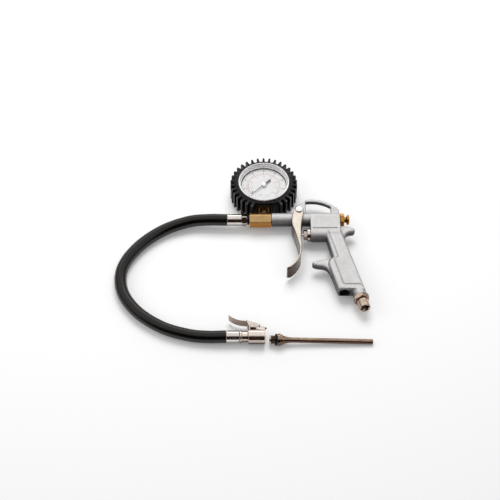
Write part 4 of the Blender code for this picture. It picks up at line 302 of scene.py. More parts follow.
@dataclass(frozen=True)
class ClearLens:
    """Cast acrylic sheet: it shows the dial as it is, with a thin gloss that grows at a slant.

    Attributes:
        name: What the surface is.
        tint: Colour of what is seen through it.
        ior: How strongly it reflects.
        marks_mm: Size of the wiping marks, which dull the gloss a little.
    """

    name: str = "cast_acrylic"
    tint: str = "#FEFEFE"
    ior: float = 1.49
    marks_mm: float = 12.5

    @cache
    def material(self) -> bpy.types.Material:
        """Make the lens as a material on first use.

        Returns:
            The material, which is the same one on each later use.
        """
        material, tree = blank_material(self.name)
        backfacing = add_node(tree, "ShaderNodeNewGeometry").outputs["Backfacing"]
        facing_out = add_node(tree, "ShaderNodeMath", (1.0, backfacing), operation="SUBTRACT").outputs[0]
        slant = add_node(tree, "ShaderNodeFresnel", {"IOR": self.ior}).outputs[0]
        share = add_node(tree, "ShaderNodeMath", (slant, facing_out), operation="MULTIPLY").outputs[0]
        place = add_node(tree, "ShaderNodeTexCoord").outputs["Object"]
        marks = add_node(tree, "ShaderNodeTexNoise", {
            "Vector": place, "Scale": 1 / (self.marks_mm * MM), "Detail": 5.0,
        }).outputs["Fac"]
        gloss = add_node(tree, "ShaderNodeMapRange", (marks, 0.35, 0.7, 0.02, 0.09)).outputs[0]
        clear = add_node(tree, "ShaderNodeBsdfTransparent", {"Color": linear(self.tint)}).outputs[0]
        shine = add_node(tree, "ShaderNodeBsdfGlossy", {"Roughness": gloss}).outputs[0]
        mixed = add_node(tree, "ShaderNodeMixShader", (share, clear, shine))
        add_node(tree, "ShaderNodeOutputMaterial", {"Surface": mixed.outputs[0]})
        return material


# Die-cast zinc-aluminium: satin grey with a fine even tooth, painted shade on its side walls and
# deep in its corners and cores, and edges lightened, part wear and part painted highlight.
CAST_ALUMINIUM = Finish("die_cast_aluminium", "#D9D8D8", "#CFCECE", 0.55, 0.46, patch_mm=9.0,
                        grain_mm=0.75, relief_mm=0.03, roughness_spread=0.06, edge_wear_and_sheen="#E4E4E4",
                        upright="#4C4C4F", painted_side_shade_range=(0.2, 0.95), painted_corner_shade=0.93,
                        corner_shade_mm=11.0, mottle=0.18)
# Painted shade for the same casting deep in the handle's core: dark, dull and rough.
CORE_PAINTED_SHADE = Finish("painted_core_shade", "#2C2B2C", "#242324", 0.2, 0.7, patch_mm=4.0, grain_mm=0.6,
                   relief_mm=0.05, painted_corner_shade=0.8, corner_shade_mm=12.0)
# Pressed mild steel, nickel plated: warm, bright, with shallow rolling marks, painted brown shade on
# its side walls, painted shade in its corners and edges lightened as wear and painted highlight.
NICKEL_PRESSING = Finish("nickel_plated_pressing", "#E8DFD5", "#DCD1C5", 1.0, 0.24, patch_mm=11.0,
                         grain_mm=1.2, relief_mm=0.006, stretch=(1.0, 0.25, 1.0), edge_wear_and_sheen="#F0E8DC",
                         upright="#4C3C34", painted_side_shade_range=(0.25, 0.95), painted_corner_shade=0.75)
# The chuck's thumb lever, plated like the trigger but greyer, with a paler painted shade on its side
# walls, painted shade in its corners and edges lightened as wear and painted highlight.
NICKEL_LEVER = Finish("nickel_plated_lever", "#E4DBD3", "#D8CDC4", 1.0, 0.2, patch_mm=7.0,
                      grain_mm=0.8, relief_mm=0.004, edge_wear_and_sheen="#F0E8DC", upright="#9E8D82", painted_corner_shade=0.8)
# Turned brass, nickel plated: a warm mirror with faint rings from the tool, painted brown shade on
# its faces that turn sideways and down, painted shade in its corners and edges lightened as wear and
# painted highlight.
NICKEL_TURNED = Finish("nickel_plated_turning", "#F0E6DE", "#E4D7CD", 1.0, 0.14, patch_mm=7.0,
                       grain_mm=0.5, relief_mm=0.003, stretch=(1.0, 0.1, 0.1), edge_wear_and_sheen="#F4ECE4",
                       upright="#5E4D46", painted_side_shade_range=(-0.1, 0.6), painted_corner_shade=0.6)
# The blow nozzle's nickel plate, coloured darker and browner than the other plating, with painted
# darker brown shade on its side walls, painted shade in its corners and edges lightened as wear and
# painted highlight.
NOZZLE_NICKEL = Finish("nozzle_nickel_plate", "#A8937F", "#8D7665", 1.0, 0.17, patch_mm=6.0,
                     grain_mm=0.5, relief_mm=0.003, stretch=(0.1, 1.0, 1.0), edge_wear_and_sheen="#E6DACE",
                     upright="#6B5246", painted_side_shade_range=(0.3, 0.9), painted_corner_shade=0.7)
# The inlet nipple's plating, browner where fittings were screwed on, with painted shade on its side
# walls and deep in its bore, and edges lightened as wear and painted highlight.
NICKEL_RUBBED = Finish("rubbed_nickel_plate", "#DECBBC", "#C6AD9B", 1.0, 0.2, patch_mm=5.0,
                       grain_mm=0.5, relief_mm=0.004, stretch=(1.0, 0.1, 0.1), edge_wear_and_sheen="#E6D9CC",
                       upright="#A08474", painted_corner_shade=0.94, corner_shade_mm=10.0)
# Hexagon bar brass, as machined: yellow, satin, with cutter marks along the flats, painted darker
# shade on its side flats, painted shade in its corners and edges lightened as wear and painted
# highlight.
MACHINED_BRASS = Finish("machined_brass", "#F0CC94", "#E6BC7C", 1.0, 0.34, patch_mm=6.0,
                        grain_mm=0.4, relief_mm=0.006, stretch=(0.3, 1.0, 1.0), edge_wear_and_sheen="#EBC587",
                        upright="#A4723A", painted_corner_shade=0.7, mottle=0.06)
# The socket's brass, which stands in the boot's opening, with less painted shade in its corners.
SOCKET_BRASS = replace(MACHINED_BRASS, name="machined_brass_socket", painted_corner_shade=0.35)
# Turned and buffed brass: deeper gold with sharp reflections, painted darker shade on its side walls,
# painted shade in its corners and edges lightened as wear and painted highlight.
POLISHED_BRASS = Finish("polished_brass", "#DDA758", "#C98C3A", 1.0, 0.15, patch_mm=5.0,
                        grain_mm=0.4, relief_mm=0.002, edge_wear_and_sheen="#F3C57C", upright="#A9702F",
                        painted_corner_shade=0.8)
# Bright chrome on steel: cool mirror with faint haze, painted darker shade on its faces that turn
# down, painted shade in its corners and edges lightened as wear and painted highlight.
BRIGHT_CHROME = Finish("bright_chrome_plate", "#E6E2DE", "#DAD5D0", 1.0, 0.13, patch_mm=9.0,
                       grain_mm=0.8, relief_mm=0.002, edge_wear_and_sheen="#F4F4F4", upright="#A7A09C",
                       painted_side_shade_range=(-0.2, 0.4), painted_corner_shade=0.8)
# The bezel's brushed chrome: softer, with fine lines round the ring and edges lightened as wear and
# painted highlight.
BRUSHED_CHROME = Finish("brushed_chrome_plate", "#F2F2F4", "#E8E8EA", 1.0, 0.28, patch_mm=12.0,
                        grain_mm=2.0, relief_mm=0.001, edge_wear_and_sheen="#F6F6F6", mottle=0.0)
# Hard-drawn spring wire: grey with drawing lines.
SPRING_WIRE = Finish("drawn_spring_steel", "#B9B9BC", "#A5A5A8", 1.0, 0.3, patch_mm=3.0,
                     grain_mm=0.3, relief_mm=0.003)
# Moulded nitrile rubber: near black, satin, with painted grey highlights along the edges of its ribs.
BOOT_RUBBER = Finish("moulded_nitrile_rubber", "#070403", "#0C0908", 0.0, 0.28, patch_mm=9.0,
                     grain_mm=0.35, relief_mm=0.012, edge_wear_and_sheen="#A5A3A8", specular=0.24)
# Extruded rubber hose with a wrapped cure: smooth black with a soft shine.
HOSE_RUBBER = Finish("extruded_hose_rubber", "#050302", "#080605", 0.0, 0.24, patch_mm=16.0,
                     grain_mm=0.4, relief_mm=0.008, roughness_spread=0.05, specular=0.42)
# Small turned or moulded seals of soft black rubber.
SEAL_RUBBER = Finish("soft_seal_rubber", "#0A0A0A", "#101010", 0.0, 0.5, patch_mm=3.0,
                     grain_mm=0.25, relief_mm=0.006, specular=0.2)
# Black stoving paint on a pressed steel cup.
STOVED_PAINT = Finish("black_stoving_enamel", "#1A1A1C", "#222224", 0.0, 0.38, patch_mm=10.0,
                      grain_mm=0.6, relief_mm=0.01, coat=0.3)
# White enamel on the aluminium dial: almost even, faintly grey.
DIAL_ENAMEL = Finish("white_dial_enamel", "#F9F8F8", "#F4F3F3", 0.0, 0.45, patch_mm=18.0,
                     grain_mm=0.3, relief_mm=0.003, specular=0.3)
# Screen-printed inks on the dial, and the needle's black paint.
BLACK_INK = Finish("black_screen_ink", "#2B2B2E", "#38383B", 0.0, 0.5, patch_mm=3.0,
                   grain_mm=0.2, relief_mm=0.001)
RED_INK = Finish("red_screen_ink", "#D98F94", "#DE9CA0", 0.0, 0.5, patch_mm=3.0,
                 grain_mm=0.2, relief_mm=0.001)
LENS = ClearLens()

AnyFinish = Finish | ClearLens


# ---- Shape tools ----


def fillet(points: Sequence[Pair], radius: float, closed: bool = False, steps: int = 4) -> Outline:
    """Round the corners of a flat line.

    Args:
        points: The line's corners.
        radius: How far from a corner its rounding starts, at most 45% of either side.
        closed: Whether the last point joins the first.
        steps: Straight pieces in each rounding.

    Returns:
        The rounded line. The ends of an open line stay.
    """
    count = len(points)
    rounded: Outline = []
    for i, corner in enumerate(points):
        if not closed and i in (0, count - 1):
            rounded.append(tuple(corner))
            continue
        here = Vector(corner)
        before = Vector(points[i - 1]) - here
        after = Vector(points[(i + 1) % count]) - here
        reach = min(radius, 0.45 * before.length, 0.45 * after.length)
        start = here + before.normalized() * reach
        end = here + after.normalized() * reach
        for k in range(steps + 1):
            t = k / steps
            point = start * (1 - t) ** 2 + here * 2 * t * (1 - t) + end * t**2
            rounded.append((point.x, point.y))
    return rounded


def eased(start: Vector, leaving: Vector, end: Vector, arriving: Vector, t: float) -> Vector:
    """Return a point at a share t of the smooth curve between two points with given slopes."""
    return (start * (2 * t**3 - 3 * t**2 + 1) + leaving * (t**3 - 2 * t**2 + t)
            + end * (3 * t**2 - 2 * t**3) + arriving * (t**3 - t**2))


def smooth_line(points: Sequence[Pair], per_side: int = 6) -> Outline:
    """Return an open flat line that passes smoothly through the given points.

    Args:
        points: Points on the line.
        per_side: New pieces between two points.

    Returns:
        The denser line.
    """
    line = [Vector(p) for p in points]
    dense: Outline = []
    for i in range(len(line) - 1):
        p1, p2 = line[i], line[i + 1]
        slope1 = (p2 - line[max(i - 1, 0)]) / (2 if i else 1)
        slope2 = (line[min(i + 2, len(line) - 1)] - p1) / (2 if i + 2 < len(line) else 1)
        for k in range(per_side):
            point = eased(p1, slope1, p2, slope2, k / per_side)
            dense.append((point.x, point.y))
    dense.append(tuple(line[-1]))
    return dense


def beside(points: Sequence[Pair], distance: float) -> Outline:
    """Move an open flat line sideways, as the other face of a sheet.

    Args:
        points: Points on the line.
        distance: How far it moves to its left, or to its right where negative.

    Returns:
        The moved line, with as many points.
    """
    moved: Outline = []
    for i, (x, y) in enumerate(points):
        ahead = Vector(points[min(i + 1, len(points) - 1)]) - Vector(points[max(i - 1, 0)])
        ahead.normalize()
        moved.append((x - ahead.y * distance, y + ahead.x * distance))
    return moved


def arc(centre: Pair, radius: float, start: float, end: float, steps: int = 24) -> Outline:
    """Return points along an arc, with its angles in degrees."""
    turns = [math.radians(start + (end - start) * i / steps) for i in range(steps + 1)]
    return [(centre[0] + radius * math.cos(a), centre[1] + radius * math.sin(a)) for a in turns]


def on_gun(x: float, y: float, z: float = 0.0) -> Vector:
    """Return a point given its height over the gun's mid plane."""
    return Vector((x, y, MID_Z + z))


@dataclass(frozen=True)
class Place:
    """Where a turned piece stands: its origin, its axis and the direction of its angle 0."""

    origin: Sequence[float]
    axis: Vector
    side: Vector

    def matrix(self) -> Matrix:
        """Work out where the piece stands.

        Returns:
            The transform from the piece's own millimetres to the frame's.
        """
        up = self.axis.normalized()
        across = up.cross(self.side).normalized()
        turn = Matrix((across.cross(up), across, up)).transposed()
        return Matrix.Translation(Vector(self.origin)) @ turn.to_4x4()


def along_barrel(y: float, x: float = 0.0) -> Place:
    """Return a place on an axis parallel to the barrel, with angle 0 towards the gauge."""
    return Place(on_gun(x, y), X_AXIS, Y_AXIS)


def upright(x: float = 0.0, y: float = 0.0, z: float = 0.0) -> Place:
    """Return a place on an axis that stands on the table."""
    return Place((x, y, z), Z_AXIS, X_AXIS)


def put(name: str, data: bpy.types.ID) -> Solid:
    """Put a mesh, curve, lamp or camera in the scene.

    Args:
        name: The object's name.
        data: What the object shows.

    Returns:
        The object.
    """
    made = bpy.data.objects.new(name, data)
    bpy.context.scene.collection.objects.link(made)
    return made


def object_from(name: str, points: np.ndarray, faces: list, matrix: Matrix) -> Solid:
    """Make a closed mesh object from points in millimetres.

    Args:
        name: The object's name.
        points: Its points, one row each.
        faces: Its faces as lists of point numbers.
        matrix: Transform to the frame, in millimetres.

    Returns:
        The object, with its mesh in metres.
    """
    mesh = bpy.data.meshes.new(name)
    mesh.from_pydata([tuple(p) for p in points], [], faces)
    mesh.transform(Matrix.Scale(MM, 4) @ matrix)
    shape = bmesh.new()
    shape.from_mesh(mesh)
    bmesh.ops.remove_doubles(shape, verts=shape.verts, dist=WELD)
    bmesh.ops.recalc_face_normals(shape, faces=shape.faces)
    shape.to_mesh(mesh)
    shape.free()
    mesh.shade_smooth()
    mesh.set_sharp_from_angle(angle=math.radians(SHARP))
    return put(name, mesh)


def turned(name: str, profile: Sequence[Pair], place: Place, segments: int = 96,
           shape: RadiusShape | None = None) -> Solid:
    """Turn a profile of (radius, height) pairs about an axis.

    Args:
        name: The piece's name.
        profile: The section. One that starts and ends on the axis is a solid, any other a ring.
        place: Where it stands.
        segments: Points round the axis.
        shape: Changes a row's radius by angle, given the angles, the radius and the height.

    Returns:
        The turned object.
    """
    angles = np.arange(segments) * 2 * math.pi / segments
    points: list[np.ndarray] = []
    rows: list[range] = []
    total = 0
    for radius, height in profile:
        if radius <= 0.0:
            points.append(np.array([[0.0, 0.0, height]]))
        else:
            reach = np.full(segments, radius) if shape is None else shape(angles, radius, height)
            points.append(np.stack([reach * np.cos(angles), reach * np.sin(angles),
                                    np.full(segments, height)], axis=1))
        rows.append(range(total, total + len(points[-1])))
        total = rows[-1].stop
    pairs = list(zip(rows, rows[1:]))
    if profile[0][0] > 0.0 or profile[-1][0] > 0.0:
        pairs.append((rows[-1], rows[0]))
    faces = []
    for first, second in pairs:
        for i in range(segments):
            j = (i + 1) % segments
            if len(first) == 1 and len(second) > 1:
                faces.append([first[0], second[i], second[j]])
            elif len(second) == 1 and len(first) > 1:
                faces.append([first[i], second[0], first[j]])
            elif len(first) > 1:
                faces.append([first[i], second[i], second[j], first[j]])
    return object_from(name, np.concatenate(points), faces, place.matrix())


def divided(profile: Outline, step: float) -> Outline:
    """Add rows to the long sides of a closed profile.

    Args:
        profile: The section, as (radius, height) pairs.
        step: Height between two rows at most.

    Returns:
        The denser section.
    """
    dense: Outline = []
    for (r0, h0), (r1, h1) in zip(profile, profile[1:] + profile[:1]):
        parts = int(abs(h1 - h0) / step) + 1
        dense += [(r0 + (r1 - r0) * k / parts, h0 + (h1 - h0) * k / parts) for k in range(parts)]
    return dense


@dataclass(frozen=True)
class Hexagon:
    """A length of hexagon bar on a turned piece, whose corners are turned off at both ends.

    Attributes:
        flats: Width over the flats.
        chamfer: How far the corners are turned off, along the axis.
        low: Height of its lower end.
        high: Height of its upper end.
    """

    flats: float
    chamfer: float
    low: float
    high: float

    CORNER_SHARE: ClassVar[float] = 0.985  # a bar's corners are never quite sharp
    FACE_SHARE: ClassVar[float] = 0.15  # how far its end faces reach towards the corners
    STEPS: ClassVar[int] = 5  # rows in each turned-off end
    SLACK: ClassVar[float] = 1e-6

    def rows(self) -> Outline:
        """Work out the bar's stretch of a profile.

        Returns:
            The rows from its upper end to its lower end, for turned().
        """
        radius = self.flats / 2
        top = [(radius, self.high - self.chamfer * i / self.STEPS) for i in range(self.STEPS + 1)]
        bottom = [(radius, self.low + self.chamfer * i / self.STEPS) for i in range(self.STEPS, -1, -1)]
        return top + bottom

    def shape(self, angles: np.ndarray, radius: float, height: float) -> np.ndarray:
        """Work out the radius round one row, for turned().

        Args:
            angles: Angles round the axis, in radians.
            radius: The row's radius.
            height: The row's height.

        Returns:
            The radius at each angle. Rows outside the bar stay as they are.
        """
        outside = height < self.low - self.SLACK or height > self.high + self.SLACK
        if outside or radius < self.flats / 2 - self.SLACK:
            return np.full(len(angles), radius)
        corner = self.flats / math.sqrt(3.0)
        sector = (angles + math.pi / 6) % (math.pi / 3) - math.pi / 6
        bar = np.minimum(self.flats / 2 / np.cos(sector), corner * self.CORNER_SHARE)
        depth = min(height - self.low, self.high - height)
        reach = min(1.0, self.FACE_SHARE + depth / self.chamfer)
        return np.minimum(bar, self.flats / 2 + (corner - self.flats / 2) * reach)


def sheet_or_bar(name: str, outlines: Sequence[Sequence[Pair]], mid: Sequence[float], half: float,
                 edge: float = 0.0, side: str = "Z") -> Solid:
    """Fill flat outlines and thicken them to both sides of a plane.

    Args:
        name: The object's name.
        outlines: The outer outline, then any holes, in millimetres.
        mid: A point on the middle plane.
        half: Half the thickness.
        edge: Radius of the rounded rims.
        side: "Z" for outlines of (x, y), "X" for outlines of (y, z).

    Returns:
        The solid object.
    """
    curve = bpy.data.curves.new(name, "CURVE")
    curve.dimensions = "2D"
    curve.fill_mode = "BOTH"
    curve.extrude = (half - edge) * MM
    curve.bevel_depth = edge * MM
    curve.offset = -edge * MM
    curve.bevel_resolution = 3
    for outline in outlines:
        spline = curve.splines.new("POLY")
        spline.points.add(len(outline) - 1)
        spline.use_cyclic_u = True
        for point, (x, y) in zip(spline.points, outline):
            point.co = (x * MM, y * MM, 0.0, 1.0)
    source = put(name + "_outline", curve)
    turn = Matrix.Identity(4)
    if side == "X":
        turn = Matrix(((0, 0, 1, 0), (1, 0, 0, 0), (0, 1, 0, 0), (0, 0, 0, 1)))
    source.matrix_world = Matrix.Translation(Vector(mid) * MM) @ turn
    return settled(source, name)


def settled(source: Solid, name: str, sharp: float = SHARP) -> Solid:
    """Replace an object by a plain mesh object with its modifiers and place worked in.

    Args:
        source: The curve, text or solid, which is used up.
        name: The new object's name.
        sharp: Edges that turn by more degrees than this stay sharp.

    Returns:
        The plain object, with its origin at the frame's.
    """
    bpy.context.view_layer.update()
    graph = bpy.context.evaluated_depsgraph_get()
    mesh = bpy.data.meshes.new_from_object(source.evaluated_get(graph))
    mesh.transform(source.matrix_world)
    shape = bmesh.new()
    shape.from_mesh(mesh)
    bmesh.ops.remove_doubles(shape, verts=shape.verts, dist=WELD)
    bmesh.ops.dissolve_degenerate(shape, edges=shape.edges, dist=WELD)
    bmesh.ops.recalc_face_normals(shape, faces=shape.faces)
    shape.to_mesh(mesh)
    shape.free()
    mesh.materials.clear()
    mesh.shade_smooth()
    mesh.set_sharp_from_angle(angle=math.radians(sharp))
    bpy.data.objects.remove(source, do_unlink=True)
    mesh.name = name
    return put(name, mesh)


def carved(target: Solid, cutters: Sequence[Solid],
           operation: str = "DIFFERENCE") -> Solid:
    """Cut, join or clip a solid by others, which are used up.

    Args:
        target: The solid that is changed.
        cutters: The solids that change it.
        operation: DIFFERENCE, UNION or INTERSECT.

    Returns:
        The changed solid, under the same name.
    """
    name = target.name
    for cutter in cutters:
        change = target.modifiers.new(cutter.name, "BOOLEAN")
        change.operation = operation
        change.solver = "MANIFOLD"
        change.object = cutter
    target.name = name + "_before"
    made = settled(target, name)
    for cutter in cutters:
        bpy.data.objects.remove(cutter, do_unlink=True)
    return made


def joined(name: str, solids: Sequence[Solid]) -> Solid:
    """Put overlapping solids into one object, without working out their union.

    Args:
        name: The new object's name.
        solids: The solids, which are used up.

    Returns:
        One object that holds them all.
    """
    shape = bmesh.new()
    for solid in solids:
        solid.data.transform(solid.matrix_world)
        shape.from_mesh(solid.data)
    mesh = bpy.data.meshes.new(name)
    shape.to_mesh(mesh)
    shape.free()
    for solid in solids:
        bpy.data.objects.remove(solid, do_unlink=True)
    return put(name, mesh)


def softened(target: Solid, grid_mm: float, passes: int) -> Solid:
    """Mesh a solid anew on an even grid and melt its edges, as a mould or a press leaves them.

    Args:
        target: The solid, which is used up.
        grid_mm: Grid of the new mesh.
        passes: How often the edges are melted.

    Returns:
        The new solid, under the same name.
    """
    name = target.name
    remesh = target.modifiers.new("even_grid", "REMESH")
    remesh.mode = "VOXEL"
    remesh.voxel_size = grid_mm * MM
    remesh.use_smooth_shade = True
    if passes:
        melt = target.modifiers.new("melt", "SMOOTH")
        melt.factor = 0.5
        melt.iterations = passes
    target.name = name + "_before"
    return settled(target, name, sharp=180.0)


def moulded(name: str, solids: Sequence[Solid], cutters: Sequence[Solid],
            grid_mm: float, passes: int) -> Solid:
    """Cast one body from overlapping solids, less its cores, with soft edges all over.

    Args:
        name: The body's name.
        solids: What it is joined from.
        cutters: What its cores leave out.
        grid_mm: Grid of the new mesh.
        passes: How often the edges are melted.

    Returns:
        The cast body.
    """
    body = softened(joined(name, solids), grid_mm, 0)
    if cutters:
        body = carved(body, cutters)
    return softened(body, grid_mm, passes)


def rod(name: str, radius: float, start: Vector, end: Vector, segments: int = 64) -> Solid:
    """Make a round bar between two points, as stock for casting or as a drill.

    Args:
        name: The bar's name.
        radius: Its radius.
        start: The middle of one end.
        end: The middle of the other end.
        segments: Points round it.

    Returns:
        The bar.
    """
    axis = end - start
    stands = abs(axis.normalized().z) > 0.9
    side = X_AXIS if stands else Z_AXIS
    profile = [(0.0, axis.length), (radius, axis.length), (radius, 0.0), (0.0, 0.0)]
    return turned(name, profile, Place(start, axis, side), segments)


def swept(name: str, path: Sequence[Vector], radius: float, segments: int = 32) -> Solid:
    """Sweep a round section along a line, with closed ends.

    Args:
        name: The object's name.
        path: Points of the line, in millimetres.
        radius: Radius of the section.
        segments: Points round the section.

    Returns:
        The swept object.
    """
    tangents = []
    for i in range(len(path)):
        tangents.append((path[min(i + 1, len(path) - 1)] - path[max(i - 1, 0)]).normalized())
    side = tangents[0].cross(Z_AXIS).normalized()
    points, faces = [], []
    for i, (centre, tangent) in enumerate(zip(path, tangents)):
        side = (side - tangent * side.dot(tangent)).normalized()
        across = tangent.cross(side)
        for k in range(segments):
            turn = 2 * math.pi * k / segments
            points.append(centre + (side * math.cos(turn) + across * math.sin(turn)) * radius)
        if i:
            base = (i - 1) * segments
            for k in range(segments):
                j = (k + 1) % segments
                faces.append([base + k, base + j, base + segments + j, base + segments + k])
    faces.append(list(range(segments)))
    faces.append(list(range(len(points) - segments, len(points))))
    return object_from(name, np.array([tuple(p) for p in points]), faces, Matrix.Identity(4))


def dress(piece: Solid, finish: AnyFinish, body: Body, slot: Slot,
          *nodes: str) -> Solid:
    """Give a piece its finish and the body it rides on, and hide the solids it stands for.

    Args:
        piece: The finished piece.
        finish: What its surface is.
        body: The body that carries it.
        slot: The record's material slot; not used.
        *nodes: The solids that it replaces.

    Returns:
        The same piece.
    """
    piece.data.materials.clear()
    piece.data.materials.append(finish.material())
    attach(piece, body.value)
    if nodes:
        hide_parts(*nodes)
    LOG.info("%s rides on %s, for %s", piece.name, body.value, ", ".join(nodes) or "no solid")
    return piece


def refinish(finish: AnyFinish, *nodes: str) -> None:
    """Give solids that stay in view, or lie inside, their finish.

    Args:
        finish: What their surface is.
        *nodes: Their names in the frame.
    """
    for name in nodes:
        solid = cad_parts[name]
        for slot in solid.material_slots:
            slot.link = "OBJECT"
            slot.material = finish.material()
        LOG.info("%s keeps its solid, as %s", name, finish.name)


# ---- Studio ----


@dataclass
class Studio:
    """The camera, the white table and the soft light. Its sizes are in metres."""

    camera_place: Triple = (-0.01686, -0.9865, 1.1306)
    camera_pitch: float = math.radians(38.6)
    lens_mm: float = 86.99
    sensor_mm: float = 36.0
    nearest: float = 0.01
    floor_half: float = 4.0
    floor_level: float = -0.0001
    floor_colour: str = "#E7E7E7"
    floor_seen: str = "#FFFFFF"
    floor_lift: float = 0.15
    sky_colour: str = "#FFFFFF"
    sky_level: float = 0.42
    # What reflections see: the room's colours, and the directions between which they change.
    room_top: str = "#F6F4F2"
    room_walls: str = "#A39C98"
    room_front: str = "#2A1A15"
    wall_rise: Pair = (0.25, 0.6)
    front_reach: Pair = (-0.56, -0.2)
    back_strip: float = 2.0
    strip_reach: Pair = (0.64, 0.82)
    strip_rise: Pair = (0.35, 0.5)
    top_light: float = 9.8
    top_place: Triple = (0.0, 0.55, 1.2)
    side_light: float = 2.2
    side_place: Triple = (-1.2, -0.1, 0.9)
    lamp_size: float = 0.8
    lamp_aim: Triple = (0.0, -0.1, 0.0)

    def build(self) -> None:
        """Make the camera, the floor, the sky and the lamps."""
        self._camera()
        self._floor()
        self._sky()
        self._lamp("top_softbox", self.top_place, self.top_light)
        self._lamp("left_softbox", self.side_place, self.side_light)
        bpy.context.scene.view_settings.view_transform = "Standard"

    def _camera(self) -> None:
        """Set the camera at the photograph's view."""
        data = bpy.data.cameras.new("camera")
        data.lens = self.lens_mm
        data.sensor_width = self.sensor_mm
        data.clip_start = self.nearest
        camera = put("camera", data)
        camera.location = self.camera_place
        camera.rotation_euler = (self.camera_pitch, 0.0, 0.0)
        bpy.context.scene.camera = camera

    def _floor(self) -> None:
        """Lay a white table whose own shade stays, lifted to white where only it is seen."""
        half, level = self.floor_half, self.floor_level
        mesh = bpy.data.meshes.new("studio_floor")
        corners = [(-half, -half, level), (half, -half, level), (half, half, level),
                   (-half, half, level)]
        mesh.from_pydata(corners, [], [(0, 1, 2, 3)])
        floor = put("studio_floor", mesh)
        material, tree = blank_material("white_laminate_table")
        seen = self._seen_directly(tree)
        shade = add_node(tree, "ShaderNodeMix", {
            0: seen, 6: linear(self.floor_colour), 7: linear(self.floor_seen),
        }, data_type="RGBA").outputs[2]
        matte = add_node(tree, "ShaderNodeBsdfDiffuse", {"Color": shade}).outputs[0]
        lift = add_node(tree, "ShaderNodeMath", (seen, self.floor_lift), operation="MULTIPLY").outputs[0]
        glow = add_node(tree, "ShaderNodeEmission", {"Strength": lift}).outputs[0]
        total = add_node(tree, "ShaderNodeAddShader", (matte, glow)).outputs[0]
        add_node(tree, "ShaderNodeOutputMaterial", {"Surface": total})
        mesh.materials.append(material)

    @staticmethod
    def _seen_directly(tree: Tree) -> Socket:
        """Tell the rays that see a surface from those that light it.

        Args:
            tree: The node tree that asks.

        Returns:
            A socket that is 1 for camera, glossy and transmission rays.
        """
        path = add_node(tree, "ShaderNodeLightPath").outputs
        total = path["Is Camera Ray"]
        for name in ("Is Glossy Ray", "Is Transmission Ray"):
            total = add_node(tree, "ShaderNodeMath", (total, path[name]), operation="MAXIMUM").outputs[0]
        return total

    def _sky(self) -> None:
        """Surround the table with even light, which reflections see as a room with a back softbox."""
        world = bpy.data.worlds.new("studio_sky")
        bpy.context.scene.world = world
        world.use_nodes = True
        tree = world.node_tree
        tree.nodes.clear()
        way = add_node(tree, "ShaderNodeTexCoord").outputs["Generated"]
        parts = add_node(tree, "ShaderNodeSeparateXYZ", (way,)).outputs
        low = add_node(tree, "ShaderNodeMapRange", (parts["Z"], *self.wall_rise, 1.0, 0.0)).outputs[0]
        room = add_node(tree, "ShaderNodeMix", {
            0: low, 6: linear(self.room_top), 7: linear(self.room_walls),
        }, data_type="RGBA").outputs[2]
        front = add_node(tree, "ShaderNodeMapRange", (parts["Y"], *self.front_reach, 1.0, 0.0))
        room = add_node(tree, "ShaderNodeMix", {
            0: front.outputs[0], 6: room, 7: linear(self.room_front),
        }, data_type="RGBA").outputs[2]
        seen = self._seen_directly(tree)
        colour = add_node(tree, "ShaderNodeMix", {0: seen, 6: linear(self.sky_colour), 7: room},
                          data_type="RGBA").outputs[2]
        behind = add_node(tree, "ShaderNodeMapRange", (
            parts["Y"], *self.strip_reach, 0.0, self.back_strip,
        )).outputs[0]
        over = add_node(tree, "ShaderNodeMapRange", (parts["Z"], *self.strip_rise)).outputs[0]
        strip = add_node(tree, "ShaderNodeMath", (behind, over), operation="MULTIPLY").outputs[0]
        bright = add_node(tree, "ShaderNodeMath", (strip, 1.0), operation="ADD").outputs[0]
        strength = add_node(tree, "ShaderNodeMix", {0: seen, 2: self.sky_level, 3: bright}).outputs[0]
        back = add_node(tree, "ShaderNodeBackground", {"Color": colour, "Strength": strength})
        add_node(tree, "ShaderNodeOutputWorld", {"Surface": back.outputs[0]})

    def _lamp(self, name: str, place: Triple, power: float) -> None:
        """Hang a square softbox that shines on the table and isn't mirrored.

        Args:
            name: The lamp's name.
            place: Where it hangs.
            power: Its power in watts.
        """
        data = bpy.data.lights.new(name, "AREA")
        data.shape = "SQUARE"
        data.size = self.lamp_size
        data.energy = power
        lamp = put(name, data)
        lamp.location = place
        lamp.visible_glossy = False
        aim = Vector(self.lamp_aim) - Vector(place)
        lamp.rotation_euler = aim.to_track_quat("-Z", "Y").to_euler()


# ---- Hose line ----


